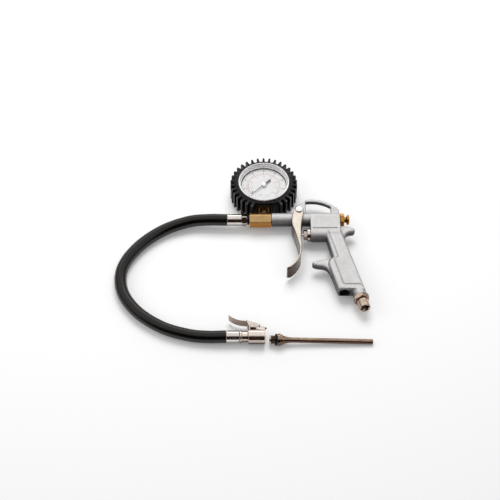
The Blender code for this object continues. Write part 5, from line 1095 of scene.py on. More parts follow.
@dataclass
class HoseLine:
    """The rubber hose, its two crimped ferrules and the swivel stem at the gun."""

    radius: float = 7.2
    spacing: float = 3.5
    gun_end_x: float = -44.3
    chuck_end_x: float = -43.5
    chuck_ferrule_length: float = 14.4
    ferrule_radius: float = 7.4
    ferrule_bore: float = 4.3
    lip_foot: float = 2.4
    mouth_length: float = 0.9
    jaws: int = 8
    jaw_turn: float = 0.3
    jaw_line: float = 0.09
    crimp_ease: float = 0.8
    crimp_depth: float = 0.05
    jaw_depth: float = 0.16
    stem_left_x: float = -26.9
    stem_hex: float = 13.6
    stem_hex_length: float = 6.4
    stem_chamfer: float = 1.1
    stem_turn: float = math.radians(12.0)
    thread_radius: float = 6.2
    thread_foot_x: float = -17.0
    thread_end_x: float = -9.6
    neck_radius: float = 4.4
    barb_radius: float = 4.0
    barb_end_x: float = -44.0
    seal_radius: float = 6.0
    seal_bore: float = 4.7
    seal_length: float = 2.6
    route: tuple = (
        (-67.0, -47.4, 12.6), (-91.0, -48.6, 10.4), (-121.0, -60.0, 7.9),
        (-147.0, -82.0, 7.2), (-164.0, -109.0, 7.2), (-168.0, -134.0, 7.2),
        (-161.0, -159.5, 7.2), (-142.5, -183.5, 7.2), (-115.0, -202.5, 7.2),
        (-86.0, -212.3, 7.2), (-64.0, -215.2, 7.7),
    )

    def centre_line(self) -> list[Vector]:
        """Draw the hose's line from the gun to the chuck, nowhere lower than it can lie.

        Returns:
            Evenly spaced points along it, in millimetres.
        """
        start = on_gun(self.gun_end_x - FIT, BARREL_Y)
        end = Vector((self.chuck_end_x - FIT, CHUCK_Y, CHUCK_Z))
        points = [start] + [Vector(p) for p in self.route] + [end]
        slopes = []
        for i in range(len(points)):
            before, after = points[max(i - 1, 0)], points[min(i + 1, len(points) - 1)]
            slopes.append((after - before) / 2)
        slopes[0] = -X_AXIS * slopes[0].length * 2
        slopes[-1] = X_AXIS * slopes[-1].length * 2
        per_side = 24
        dense = []
        for i in range(len(points) - 1):
            for k in range(per_side):
                dense.append(eased(points[i], slopes[i], points[i + 1], slopes[i + 1], k / per_side))
        dense.append(points[-1])
        for point in dense:
            point.z = max(point.z, self.radius)
        lengths = np.cumsum([0.0] + [(b - a).length for a, b in zip(dense, dense[1:])])
        count = round(lengths[-1] / self.spacing)
        wanted = np.linspace(0.0, lengths[-1], count + 1)
        rows = np.array([tuple(p) for p in dense])
        return [Vector(tuple(np.interp(w, lengths, rows[:, i]) for i in range(3))) for w in wanted]

    def build(self) -> Solid:
        """Make the hose and its metal ends.

        Returns:
            The hose.
        """
        hose = swept("air_hose", self.centre_line(), self.radius, 48)
        dress(hose, HOSE_RUBBER, Body.GUN, Slot.RUBBER, "hose")
        self._ferrule("gun_ferrule", along_barrel(BARREL_Y, self.gun_end_x),
                      self.stem_left_x - FIT - self.gun_end_x, "hose_ferrule_gun")
        self._ferrule("chuck_ferrule", Place((self.chuck_end_x, CHUCK_Y, CHUCK_Z), X_AXIS, Y_AXIS),
                      self.chuck_ferrule_length, "hose_ferrule_chuck")
        self._stem()
        return hose

    def declare(self) -> None:
        """Work out the points of the hose's line, from the gun to the chuck, in metres; nothing uses them.
        """
        path = self.centre_line()
        metres = [tuple(p * MM) for p in path]
        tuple(metres[0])

    def _crimped(self, length: float, angles: np.ndarray, radius: float, height: float) -> np.ndarray:
        """Work out the radius round one row of a ferrule, with the lines that the jaws left.

        Args:
            length: The ferrule's length.
            angles: Angles round its axis, in radians.
            radius: The row's radius.
            height: The row's height.

        Returns:
            The radius at each angle. The bore, the lip and the mouth stay round.
        """
        top = length - self.mouth_length
        if radius < self.ferrule_radius - 0.9 or not self.lip_foot < height < top:
            return np.full(len(angles), radius)
        ease = min(1.0, (height - self.lip_foot) / self.crimp_ease, (top - height) / self.crimp_ease)
        share = (angles * self.jaws / (2 * math.pi) + self.jaw_turn) % 1.0 - 0.5
        line = np.exp(-((share / self.jaw_line) ** 2))
        return radius - ease * (self.crimp_depth + self.jaw_depth * line)

    def _ferrule(self, name: str, place: Place, length: float, node: str) -> None:
        """Make a sleeve with a rolled lip at the hose and the lines of eight crimping jaws.

        Args:
            name: The sleeve's name.
            place: Where its lip stands.
            length: Its length.
            node: The solid that it replaces.
        """
        radius, bore = self.ferrule_radius, self.ferrule_bore
        profile = fillet([
            (radius - 0.3, length), (radius - 0.3, length - 1.2), (radius - 0.25, self.lip_foot),
            (radius, 1.6), (radius, 0.5), (radius - 0.5, 0.0), (bore, 0.0), (bore, length),
        ], 0.35, closed=True)
        sleeve = turned(name, divided(profile, 0.5), place, 144, partial(self._crimped, length))
        dress(sleeve, BRIGHT_CHROME, Body.GUN, Slot.CHROME, node)

    def _stem(self) -> None:
        """Make the threaded stem with its hexagon, its neck and its seal in the tee."""
        low = self.stem_left_x
        bar = Hexagon(self.stem_hex, self.stem_chamfer, low, low + self.stem_hex_length)
        profile = [(0.0, self.thread_end_x), (self.thread_radius, self.thread_end_x),
                   (self.thread_radius, self.thread_foot_x), (self.neck_radius, self.thread_foot_x),
                   (self.neck_radius, bar.high)]
        profile += bar.rows()
        profile += [(self.barb_radius, low), (self.barb_radius, self.barb_end_x), (0.0, self.barb_end_x)]
        side = Vector((0.0, math.cos(self.stem_turn), math.sin(self.stem_turn)))
        stem = turned("swivel_stem", profile, Place(on_gun(0.0, BARREL_Y), X_AXIS, side), 144, bar.shape)
        dress(stem, BRIGHT_CHROME, Body.GUN, Slot.CHROME, "hose_stem_gun")
        face = self.thread_foot_x - 2 * FIT
        ring = fillet([
            (self.seal_radius, face), (self.seal_radius, face - self.seal_length),
            (self.seal_bore, face - self.seal_length), (self.seal_bore, face),
        ], 0.6, closed=True)
        seal = turned("swivel_seal", ring, along_barrel(BARREL_Y))
        dress(seal, SEAL_RUBBER, Body.GUN, Slot.RUBBER, "hose_stem_seal")


# ---- Gun ----


@dataclass
class GunCasting:
    """The die-cast body: barrel, head, hanging loop, handle, finger rests and inlet boss."""

    barrel_radius: float = 8.15
    head_radius: float = 8.6
    head_front_x: float = 55.4
    head_rear_x: float = 91.2
    spigot_radius: float = 6.2
    pivot_boss: float = 5.4
    pivot_boss_half: float = 9.3
    inlet_boss: float = 8.0
    inlet_boss_length: float = 34.0
    handle_half: float = 7.8
    handle_edge: float = 3.6
    handle_bottom_y: float = -158.3
    handle_front_x: float = 84.6
    handle_rear_x: float = 116.2
    loop_centre: Pair = (57.7, -59.3)
    loop_outer: float = 42.0
    loop_inner: float = 37.6
    loop_half: float = 2.9
    loop_foot_y: float = -52.4
    window_front_x: float = 50.7
    window_rear_x: float = 81.0
    window_foot_y: float = -44.2
    rest_half: float = 5.0
    rest_edge: float = 3.2
    core_radius: float = 6.2
    core_length: float = 40.0
    core_reach: float = 5.0
    core_offset: float = 7.6
    cross_x: float = 65.2
    grid: float = 0.4
    melt_passes: int = 10
    groove_half: float = 0.6
    groove_depth: float = 0.8
    groove_floor: float = 6.0
    grooves: tuple = (
        ((58.6, -67.5), (87.3, -67.5)),
        ((76.3, -71.2), (86.5, -110.3), (81.4, -113.4), (91.3, -150.5)),
        ((93.2, -150.5), (109.3, -150.5), (113.3, -153.2)),
    )

    def edge_x(self, foot_x: float, y: float) -> float:
        """Return an edge of the raked handle at a height, given where it meets the foot."""
        return foot_x - (y - self.handle_bottom_y) * math.tan(HANDLE_RAKE)

    def _handle(self) -> Solid:
        """Make the handle's blank, from inside the head to its foot.

        Returns:
            The blank.
        """
        root_y = (BARREL_Y + VALVE_Y) / 2
        foot = self.handle_bottom_y
        rest_y = -119.6
        outline = fillet([
            (self.edge_x(self.handle_rear_x, root_y), root_y), (self.handle_rear_x, foot),
            (self.handle_front_x, foot), (self.edge_x(self.handle_front_x, rest_y), rest_y),
            (76.6, -112.4), (80.4, -110.2), (73.3, -76.5), (73.3, root_y),
        ], 1.2, closed=True)
        return sheet_or_bar("handle", [outline], on_gun(0, 0), self.handle_half, self.handle_edge)

    def _loop(self) -> Solid:
        """Make the hanging loop over the head with its window.

        Returns:
            The loop's blank.
        """
        centre, inner = self.loop_centre, self.loop_inner
        rear_x = self.head_rear_x - FIT
        rear = math.degrees(math.acos((rear_x - centre[0]) / self.loop_outer))
        back = math.degrees(math.acos((self.window_rear_x - centre[0]) / inner))
        front = math.degrees(math.acos((self.window_front_x - centre[0]) / inner))
        outer = arc(centre, self.loop_outer, rear, 98.0, 40)
        outer += [(37.5, -30.24), (33.66, -32.9), (30.42, -41.78), (30.42, self.loop_foot_y),
                  (rear_x, self.loop_foot_y)]
        window = arc(centre, inner, front, back, 32)
        window += [(self.window_rear_x, self.window_foot_y), (self.window_front_x, self.window_foot_y)]
        return sheet_or_bar("loop", [outer, fillet(window, 0.8, closed=True)], on_gun(0, 0),
                            self.loop_half, 1.0)

    def _finger_rests(self) -> list[Solid]:
        """Make the finger rest before the handle and the hook behind the head.

        Returns:
            The two blanks.
        """
        front = arc((59.0, -117.7), 3.1, 125, 250, 16)
        front += [(63.0, -121.9), (68.5, -122.6), (72.6, -124.9), (75.2, -129.0), (77.6, -136.0),
                  (84.5, -136.0), (84.5, -111.0), (74.5, -111.0), (68.5, -111.4), (62.5, -113.0)]
        rear = arc((104.8, -66.8), 3.8, -80, 80, 16)
        rear += [(98.6, -62.4), (94.0, -61.4), (87.6, -61.0), (87.6, -84.5), (96.2, -84.5),
                 (95.8, -79.5), (96.8, -75.2), (98.6, -72.7), (101.5, -71.2)]
        return [sheet_or_bar(name, [outline], on_gun(0, 0), self.rest_half, self.rest_edge)
                for name, outline in (("front_rest", front), ("rear_rest", rear))]

    def _stock(self) -> list[Solid]:
        """Make the round and long shapes of the casting.

        Returns:
            The blanks of the head, the barrel, its spigot and the two bosses.
        """
        r = self.head_radius
        section = arc((BARREL_Y, 0.0), r, -90, 90, 48) + arc((VALVE_Y, 0.0), r, 90, 270, 48)
        middle = (self.head_front_x + self.head_rear_x) / 2
        half = (self.head_rear_x - self.head_front_x) / 2
        pivot, reach = TRIGGER_PIVOT, self.pivot_boss_half
        inlet = AirInlet().point(17.3)
        return [
            sheet_or_bar("head", [section], on_gun(middle, 0.0), half, 0.6, side="X"),
            rod("barrel", self.barrel_radius, on_gun(9.0, BARREL_Y), on_gun(63.5, BARREL_Y), 96),
            rod("spigot", self.spigot_radius, on_gun(5.8, BARREL_Y), on_gun(17.0, BARREL_Y)),
            rod("boss", self.pivot_boss, on_gun(*pivot, -reach), on_gun(*pivot, reach)),
            rod("inlet_boss", self.inlet_boss, inlet, inlet - HANDLE_DOWN * self.inlet_boss_length, 96),
        ]

    def _core_foot(self) -> Vector:
        """Return the middle of the core's mouth at the handle's foot."""
        return on_gun(self.handle_front_x + self.core_offset, self.handle_bottom_y)

    def _bores(self) -> list[Solid]:
        """Make the drills: airways, chambers, threads, the pin's hole and the handle's core.

        Returns:
            The drills, as solids to cut away.
        """
        inlet, foot = AirInlet().point, self._core_foot()
        beyond = 12.0
        drills = [
            ("cross_drill", 2.5, on_gun(self.cross_x, VALVE_Y + 1), on_gun(self.cross_x, BARREL_Y - 1)),
            ("barrel_drill", 3.6, on_gun(4.0, BARREL_Y), on_gun(75.0, BARREL_Y)),
            ("deflate_drill", 5.7, on_gun(74.0, BARREL_Y), on_gun(93.0, BARREL_Y)),
            ("airway_drill", 3.0, inlet(26.0), inlet(111.9)),
            ("inlet_tap", 5.9, inlet(15.0), inlet(27.1)),
            ("pin_drill", PIN_HOLE, on_gun(*TRIGGER_PIVOT, -beyond), on_gun(*TRIGGER_PIVOT, beyond)),
            ("core", self.core_radius, foot + HANDLE_DOWN * self.core_reach,
             foot - HANDLE_DOWN * self.core_length),
            ("valve_drill", 6.0, on_gun(53.0, VALVE_Y), on_gun(88.6, VALVE_Y)),
        ]
        return [rod(*drill) for drill in drills]

    def _engrave(self, body: Solid) -> None:
        """Sink the plain lines into the upper side by moving the mesh's points.

        Args:
            body: The casting, which is changed.
        """
        count = len(body.data.vertices)
        flat = np.zeros(count * 3, np.float32)
        body.data.vertices.foreach_get("co", flat)
        places = flat.reshape(-1, 3) / MM
        away = np.full(count, np.inf)
        for line in self.grooves:
            for (ax, ay), (bx, by) in zip(line, line[1:]):
                side = np.array([bx - ax, by - ay])
                from_start = places[:, :2] - np.array([ax, ay])
                t = np.clip(from_start @ side / (side @ side), 0, 1)
                away = np.minimum(away, np.hypot(*(from_start - t[:, None] * side).T))
        share = np.clip(1 - away / self.groove_half / 2, 0, 1)
        depth = self.groove_depth * share * share * (3 - 2 * share)
        depth[places[:, 2] < MID_Z + self.groove_floor] = 0.0
        places[:, 2] -= depth
        body.data.vertices.foreach_set("co", (places * MM).astype(np.float32).ravel())
        body.data.update()

    def _paint_core_shade(self, body: Solid) -> None:
        """Give the core's own faces a dark colour, as painted shade deep in the bore.

        Args:
            body: The drilled casting, which is changed.
        """
        body.data.materials.append(CORE_PAINTED_SHADE.material())
        foot = self._core_foot()
        slack = 0.03
        for face in body.data.polygons:
            away = face.center / MM - foot
            along = away.dot(HANDLE_DOWN)
            aside = (away - HANDLE_DOWN * along).length
            if along > -self.core_length - 1.0 and aside < self.core_radius + slack:
                face.material_index = 1

    def build(self) -> None:
        """Cast the body, sink its lines and drill it."""
        solids = [self._handle(), self._loop(), *self._finger_rests(), *self._stock()]
        body = moulded("gun_casting", solids, [], self.grid, self.melt_passes)
        self._engrave(body)
        body = carved(body, self._bores())
        dress(body, CAST_ALUMINIUM, Body.GUN, Slot.ALUMINIUM, "gun_body")
        self._paint_core_shade(body)


@dataclass
class Trigger:
    """The folded sheet trigger, its pin and the clip that holds the pin."""

    half_width: float = 11.0
    sheet: float = 1.3
    web_top: float = -17.6
    web_foot: float = -79.4
    length: float = 89.8
    head_radius: float = 6.0
    rim: float = 1.2
    tip_radius: float = 6.0
    grid: float = 0.3
    melt_passes: int = 5
    pin_radius: float = 2.0
    pin_head: float = 4.7
    pin_head_height: float = 1.2
    clip_radius: float = 3.8
    clip_height: float = 0.8
    front: tuple = (
        (-5.8, 0.5), (-7.7, -6.1), (-8.9, -13.4), (-8.9, -22.3), (-6.9, -29.4), (-4.7, -38.0),
        (-2.4, -48.0), (-0.9, -56.0), (-0.8, -62.0), (-2.0, -69.2), (-4.1, -74.4), (-7.2, -79.4),
        (-11.6, -84.2), (-16.4, -87.6),
    )
    rear: tuple = (
        (5.8, -1.0), (4.6, -8.7), (2.9, -17.8), (1.9, -27.0), (1.4, -44.0), (1.8, -55.5),
        (1.6, -62.0), (0.2, -69.2), (-2.0, -74.8), (-5.2, -80.4), (-10.1, -85.8), (-15.4, -89.6),
    )

    def _moved(self, points: Sequence[Pair]) -> Outline:
        """Return points given from the pivot as points of the gun."""
        return [(x + TRIGGER_PIVOT[0], y + TRIGGER_PIVOT[1]) for x, y in points]

    def _channel(self) -> Solid:
        """Make the space inside the folded sheet, open at the top and at the rear.

        Returns:
            The space, as a solid to cut away.
        """
        inner = [p for p in smooth_line(self.front) if self.web_foot <= p[1] < self.web_top]
        line = beside(inner, self.sheet)
        open_x, open_y = 30.0, 30.0
        outline = [(line[0][0], self.web_top)] + line
        outline += [(open_x, line[-1][1]), (open_x, open_y), (-open_x, open_y), (-open_x, self.web_top)]
        return sheet_or_bar("channel", [self._moved(outline)], on_gun(0, 0),
                            self.half_width - self.sheet)

    def _round_tip(self) -> Solid:
        """Make the trigger's outline as seen from behind, with the round corners of its tip.

        Returns:
            The space that the trigger keeps.
        """
        r, half = self.tip_radius, self.half_width
        low = TRIGGER_PIVOT[1] - self.length + r
        high, wide = low + 100.0, half + 1
        tip = [(high, -wide), (low, -wide)]
        tip += arc((low, -half + r), r, 270, 180, 20) + arc((low, half - r), r, 180, 90, 20)
        tip += [(low, wide), (high, wide)]
        return sheet_or_bar("tip", [tip], on_gun(TRIGGER_PIVOT[0], 0), TRIGGER_PIVOT[0], side="X")

    def _pressing(self) -> None:
        """Press the trigger: blank, fold, hole and round tip."""
        top = arc((0.0, 0.0), self.head_radius, 150, 30, 24)
        outline = list(reversed(smooth_line(self.front))) + top + smooth_line(self.rear)
        blank = sheet_or_bar("trigger_pressing", [self._moved(outline)], on_gun(0, 0),
                             self.half_width, self.rim)
        reach = self.half_width + 1
        hole = rod("pin_hole", PIN_HOLE, on_gun(*TRIGGER_PIVOT, -reach), on_gun(*TRIGGER_PIVOT, reach))
        blank = carved(blank, [self._channel(), hole])
        blank = carved(blank, [self._round_tip()], "INTERSECT")
        pressing = softened(blank, self.grid, self.melt_passes)
        dress(pressing, NICKEL_PRESSING, Body.TRIGGER, Slot.NICKEL, "trigger")

    def build(self) -> None:
        """Make the pressing, the pin and the clip."""
        self._pressing()
        place = Place(on_gun(*TRIGGER_PIVOT), Z_AXIS, X_AXIS)
        under = self.half_width + FIT
        top, end = under + self.pin_head_height, -under - self.pin_head_height
        profile = fillet([
            (0.0, top), (self.pin_head - 0.8, top), (self.pin_head, under + 0.5),
            (self.pin_head, under), (self.pin_radius, under), (self.pin_radius, end), (0.0, end),
        ], 0.5)
        pin = turned("trigger_pivot_pin", profile, place)
        dress(pin, BRUSHED_CHROME, Body.GUN, Slot.NICKEL, "trigger_pin")
        low = -under - self.clip_height
        ring = fillet([
            (PIN_HOLE, low), (self.clip_radius, low), (self.clip_radius, low + self.clip_height),
            (PIN_HOLE, low + self.clip_height),
        ], 0.2, closed=True)
        clip = turned("pivot_clip", ring, place, 64)
        dress(clip, SPRING_WIRE, Body.GUN, Slot.SPRING, "trigger_pin_clip")


@dataclass
class ValveFront:
    """The trigger valve: its gland in the head and the push rod with what moves behind it."""

    hex_flats: float = 11.0
    hex_chamfer: float = 0.6
    hex_front_x: float = 47.0
    flange_x: float = 51.5
    flange_radius: float = 7.9
    shoulder_x: float = 55.1
    thread_radius: float = 5.7
    thread_end_x: float = 61.8
    bore: float = 1.8
    rod_radius: float = 1.5
    rod_front_x: float = 37.5
    rod_rear_x: float = 71.0

    def build(self) -> None:
        """Make the gland and the rod, and finish the inner pieces."""
        bar = Hexagon(self.hex_flats, self.hex_chamfer, self.hex_front_x, self.flange_x)
        profile: Outline = [(self.bore, self.thread_end_x), (self.thread_radius, self.thread_end_x),
                            (self.thread_radius, self.shoulder_x)]
        profile += fillet([
            profile[-1], (self.flange_radius, self.shoulder_x), (self.flange_radius, bar.high),
            (self.hex_flats / 2, bar.high),
        ], 0.5)[1:]
        profile += bar.rows() + [(self.bore, bar.low)]
        gland = turned("valve_gland_nut", profile, along_barrel(VALVE_Y), 144, bar.shape)
        dress(gland, NICKEL_TURNED, Body.GUN, Slot.NICKEL, "valve_gland")
        tip = arc((0.0, self.rod_front_x + self.rod_radius), self.rod_radius, 0, -90, 8)[:-1]
        profile = [(0.0, self.rod_rear_x), (self.rod_radius, self.rod_rear_x)] + tip
        push = turned("valve_push_rod", profile + [(0.0, self.rod_front_x)], along_barrel(VALVE_Y), 48)
        dress(push, NICKEL_TURNED, Body.VALVE, Slot.NICKEL, "valve_stem")
        refinish(SEAL_RUBBER, "gland_packing", "valve_poppet")
        refinish(MACHINED_BRASS, "valve_seat")
        refinish(SPRING_WIRE, "valve_spring")


@dataclass
class DeflateValve:
    """The deflate valve at the gun's rear: brass gland, bobbin button, spring and seal."""

    face_x: float = 91.5
    hex_flats: float = 14.0
    hex_chamfer: float = 1.2
    hex_length: float = 5.0
    thread_radius: float = 5.4
    thread_end_x: float = 82.5
    guide_bore: float = 2.0
    pocket_radius: float = 3.9
    pocket_floor_x: float = 84.8
    button_x: float = 99.8
    button_radius: float = 6.2
    collar_radius: float = 3.5
    collar_length: float = 5.4
    shank_radius: float = 1.6
    stop_radius: float = 2.9
    stop_x: float = 78.9

    def build(self) -> None:
        """Make the gland and the button, and finish the inner pieces."""
        bar = Hexagon(self.hex_flats, self.hex_chamfer, self.face_x, self.face_x + self.hex_length)
        profile: Outline = [(self.pocket_radius, bar.high)] + bar.rows()
        profile += [(self.thread_radius, bar.low), (self.thread_radius, self.thread_end_x),
                    (self.guide_bore, self.thread_end_x), (self.guide_bore, self.pocket_floor_x),
                    (self.pocket_radius, self.pocket_floor_x)]
        gland = turned("deflate_gland_nut", profile, along_barrel(BARREL_Y), 144, bar.shape)
        dress(gland, POLISHED_BRASS, Body.GUN, Slot.BRASS, "deflate_gland")
        x, r = self.button_x, self.button_radius
        profile = fillet([
            (0.0, x + 3.0), (r - 0.8, x + 3.0), (r, x + 1.9), (r, x + 0.6), (r - 0.9, x - 0.2),
            (self.collar_radius, x - 0.7), (self.collar_radius, x - self.collar_length),
            (self.shank_radius, x - self.collar_length), (self.shank_radius, self.stop_x + 1.0),
            (self.stop_radius, self.stop_x + 1.0), (self.stop_radius, self.stop_x), (0.0, self.stop_x),
        ], 0.6)
        button = turned("deflate_bobbin", profile, along_barrel(BARREL_Y))
        dress(button, POLISHED_BRASS, Body.BUTTON, Slot.BRASS, "deflate_button")
        refinish(SEAL_RUBBER, "deflate_seal")
        refinish(SPRING_WIRE, "deflate_spring")


@dataclass
class AirInlet:
    """The nickel-plated inlet nipple at the handle's foot, and its seal."""

    end_x: float = 114.6
    end_y: float = -180.0
    nipple_radius: float = 6.6
    nipple_length: float = 12.0
    bore_radius: float = 5.0
    inner_bore: float = 3.0
    hex_flats: float = 17.0
    hex_chamfer: float = 1.3
    hex_length: float = 5.0
    shank_radius: float = 5.6
    shank_length: float = 8.0
    thread_pitch: float = 1.3
    thread_depth: float = 0.35
    mouth_bevel: float = 0.6

    def point(self, distance: float) -> Vector:
        """Return a point on the inlet's axis, a distance up from its open end."""
        return on_gun(self.end_x, self.end_y) - HANDLE_DOWN * distance

    def build(self) -> None:
        """Make the nipple with its threaded mouth, and the seal."""
        bar = Hexagon(self.hex_flats, self.hex_chamfer, self.nipple_length,
                      self.nipple_length + self.hex_length)
        top = bar.high + FIT + self.shank_length
        profile: Outline = [(self.inner_bore, top), (self.shank_radius, top),
                            (self.shank_radius, bar.high)]
        profile += bar.rows()
        r, bore = self.nipple_radius, self.bore_radius
        profile += fillet([
            (r, bar.low), (r - 0.15, 1.0), (r - 0.9, 0.0), (bore + 0.5, 0.0), (bore, self.mouth_bevel),
        ], 0.3)
        for i in range(int((bar.low - 2.0) / self.thread_pitch)):
            start = self.mouth_bevel + i * self.thread_pitch
            profile += [(bore - self.thread_depth, start + self.thread_pitch * 0.5),
                        (bore, start + self.thread_pitch)]
        profile += [(bore, bar.low), (self.inner_bore, bar.low)]
        place = Place(self.point(0.0), -HANDLE_DOWN, HANDLE_DOWN.cross(Z_AXIS))
        nipple = turned("inlet_nipple", profile, place, 144, bar.shape)
        dress(nipple, NICKEL_RUBBED, Body.GUN, Slot.NICKEL, "inlet_connector")
        refinish(SEAL_RUBBER, "inlet_seal")


@dataclass
class Tee:
    """The brass tee of hexagon bar between the barrel, the hose and the gauge."""

    left_x: float = -17.3
    right_x: float = 8.7
    flats: float = 16.4
    chamfer: float = 1.0
    bore: float = 4.2
    tapped_radius: float = 6.5
    tapped_depth: float = 8.0
    spigot_depth: float = 3.2
    port_radius: float = 5.15
    port_depth: float = 12.0

    def build(self) -> None:
        """Make the bar with its bores."""
        bar = Hexagon(self.flats, self.chamfer, self.left_x, self.right_x)
        left, right = bar.low + self.tapped_depth, bar.high - self.spigot_depth
        profile: Outline = [(self.tapped_radius, bar.high)] + bar.rows()
        profile += [(self.tapped_radius, bar.low), (self.tapped_radius, left), (self.bore, left),
                    (self.bore, right), (self.tapped_radius, right)]
        tee = turned("brass_tee", profile, along_barrel(BARREL_Y), 144, bar.shape)
        port = rod("port", self.port_radius, on_gun(0, BARREL_Y), on_gun(0, BARREL_Y + self.port_depth))
        dress(carved(tee, [port]), MACHINED_BRASS, Body.GUN, Slot.BRASS, "tee_block")


# ---- Gauge ----


@dataclass
class GaugeBoot:
    """The moulded rubber boot with its ribs and its window for the socket."""

    wall: float = 35.8
    floor: float = 2.5
    lip_z: float = 27.6
    case_radius: float = 29.5
    case_top: float = 20.1
    lip_width: float = 1.6
    ribs: int = 31
    rib_radius: float = 41.0
    rib_width: float = 2.9
    rib_taper: float = 0.88
    rib_low: float = 2.0
    rib_high: float = 27.4
    free_arc: float = math.radians(21.0)
    window_half: float = 8.6
    window_half_height: float = 8.4
    window_y: Pair = (-41.0, -23.6)
    grid: float = 0.45
    melt_passes: int = 4

    def _ribs(self) -> Solid:
        """Make the ribs round the boot, less the stretch at the socket.

        Returns:
            The ribs' blank.
        """
        pitch = (2 * math.pi - 2 * self.free_arc) / (self.ribs - 1)
        root, crest = self.wall - 0.8, self.rib_radius
        corners = ((root, -1), (crest, -self.rib_taper), (crest, self.rib_taper), (root, 1))
        outline: Outline = []
        for i in range(self.ribs):
            angle = -math.pi / 2 + self.free_arc + pitch * i
            for radius, side in corners:
                turn = angle + side * self.rib_width / 2 / radius
                outline.append((radius * math.cos(turn), radius * math.sin(turn)))
        hole = arc((0.0, 0.0), self.wall - 1.5, 0, 358, 180)
        low, high = self.rib_low, self.rib_high
        return sheet_or_bar("ribs", [outline, hole], (0, 0, (low + high) / 2), (high - low) / 2)

    def build(self) -> None:
        """Mould the boot from its wall, its ribs and its cores."""
        mouth, bore, step = BEZEL_RADIUS + FIT, self.case_radius + FIT, self.case_top
        profile = fillet([
            (0.0, self.floor), (bore, self.floor), (bore, step), (mouth, step), (mouth, self.lip_z),
            (mouth + self.lip_width, self.lip_z), (self.wall, self.lip_z - 2.0), (self.wall, 1.6),
            (self.wall - 1.6, 0.0), (0.0, 0.0),
        ], 0.5)
        cup = turned("cup", profile, upright(), 192)
        half, (front, back) = self.window_half, self.window_y
        opening = [(-half, front), (half, front), (half, back), (-half, back)]
        window = sheet_or_bar("window", [opening], on_gun(0, 0), self.window_half_height)
        boot = moulded("rubber_boot", [cup, self._ribs()], [window], self.grid, self.melt_passes)
        dress(boot, BOOT_RUBBER, Body.GUN, Slot.RUBBER, "gauge_boot")


@dataclass(frozen=True)
class Tick:
    """The length and the width of a scale's printed line."""

    length: float
    width: float


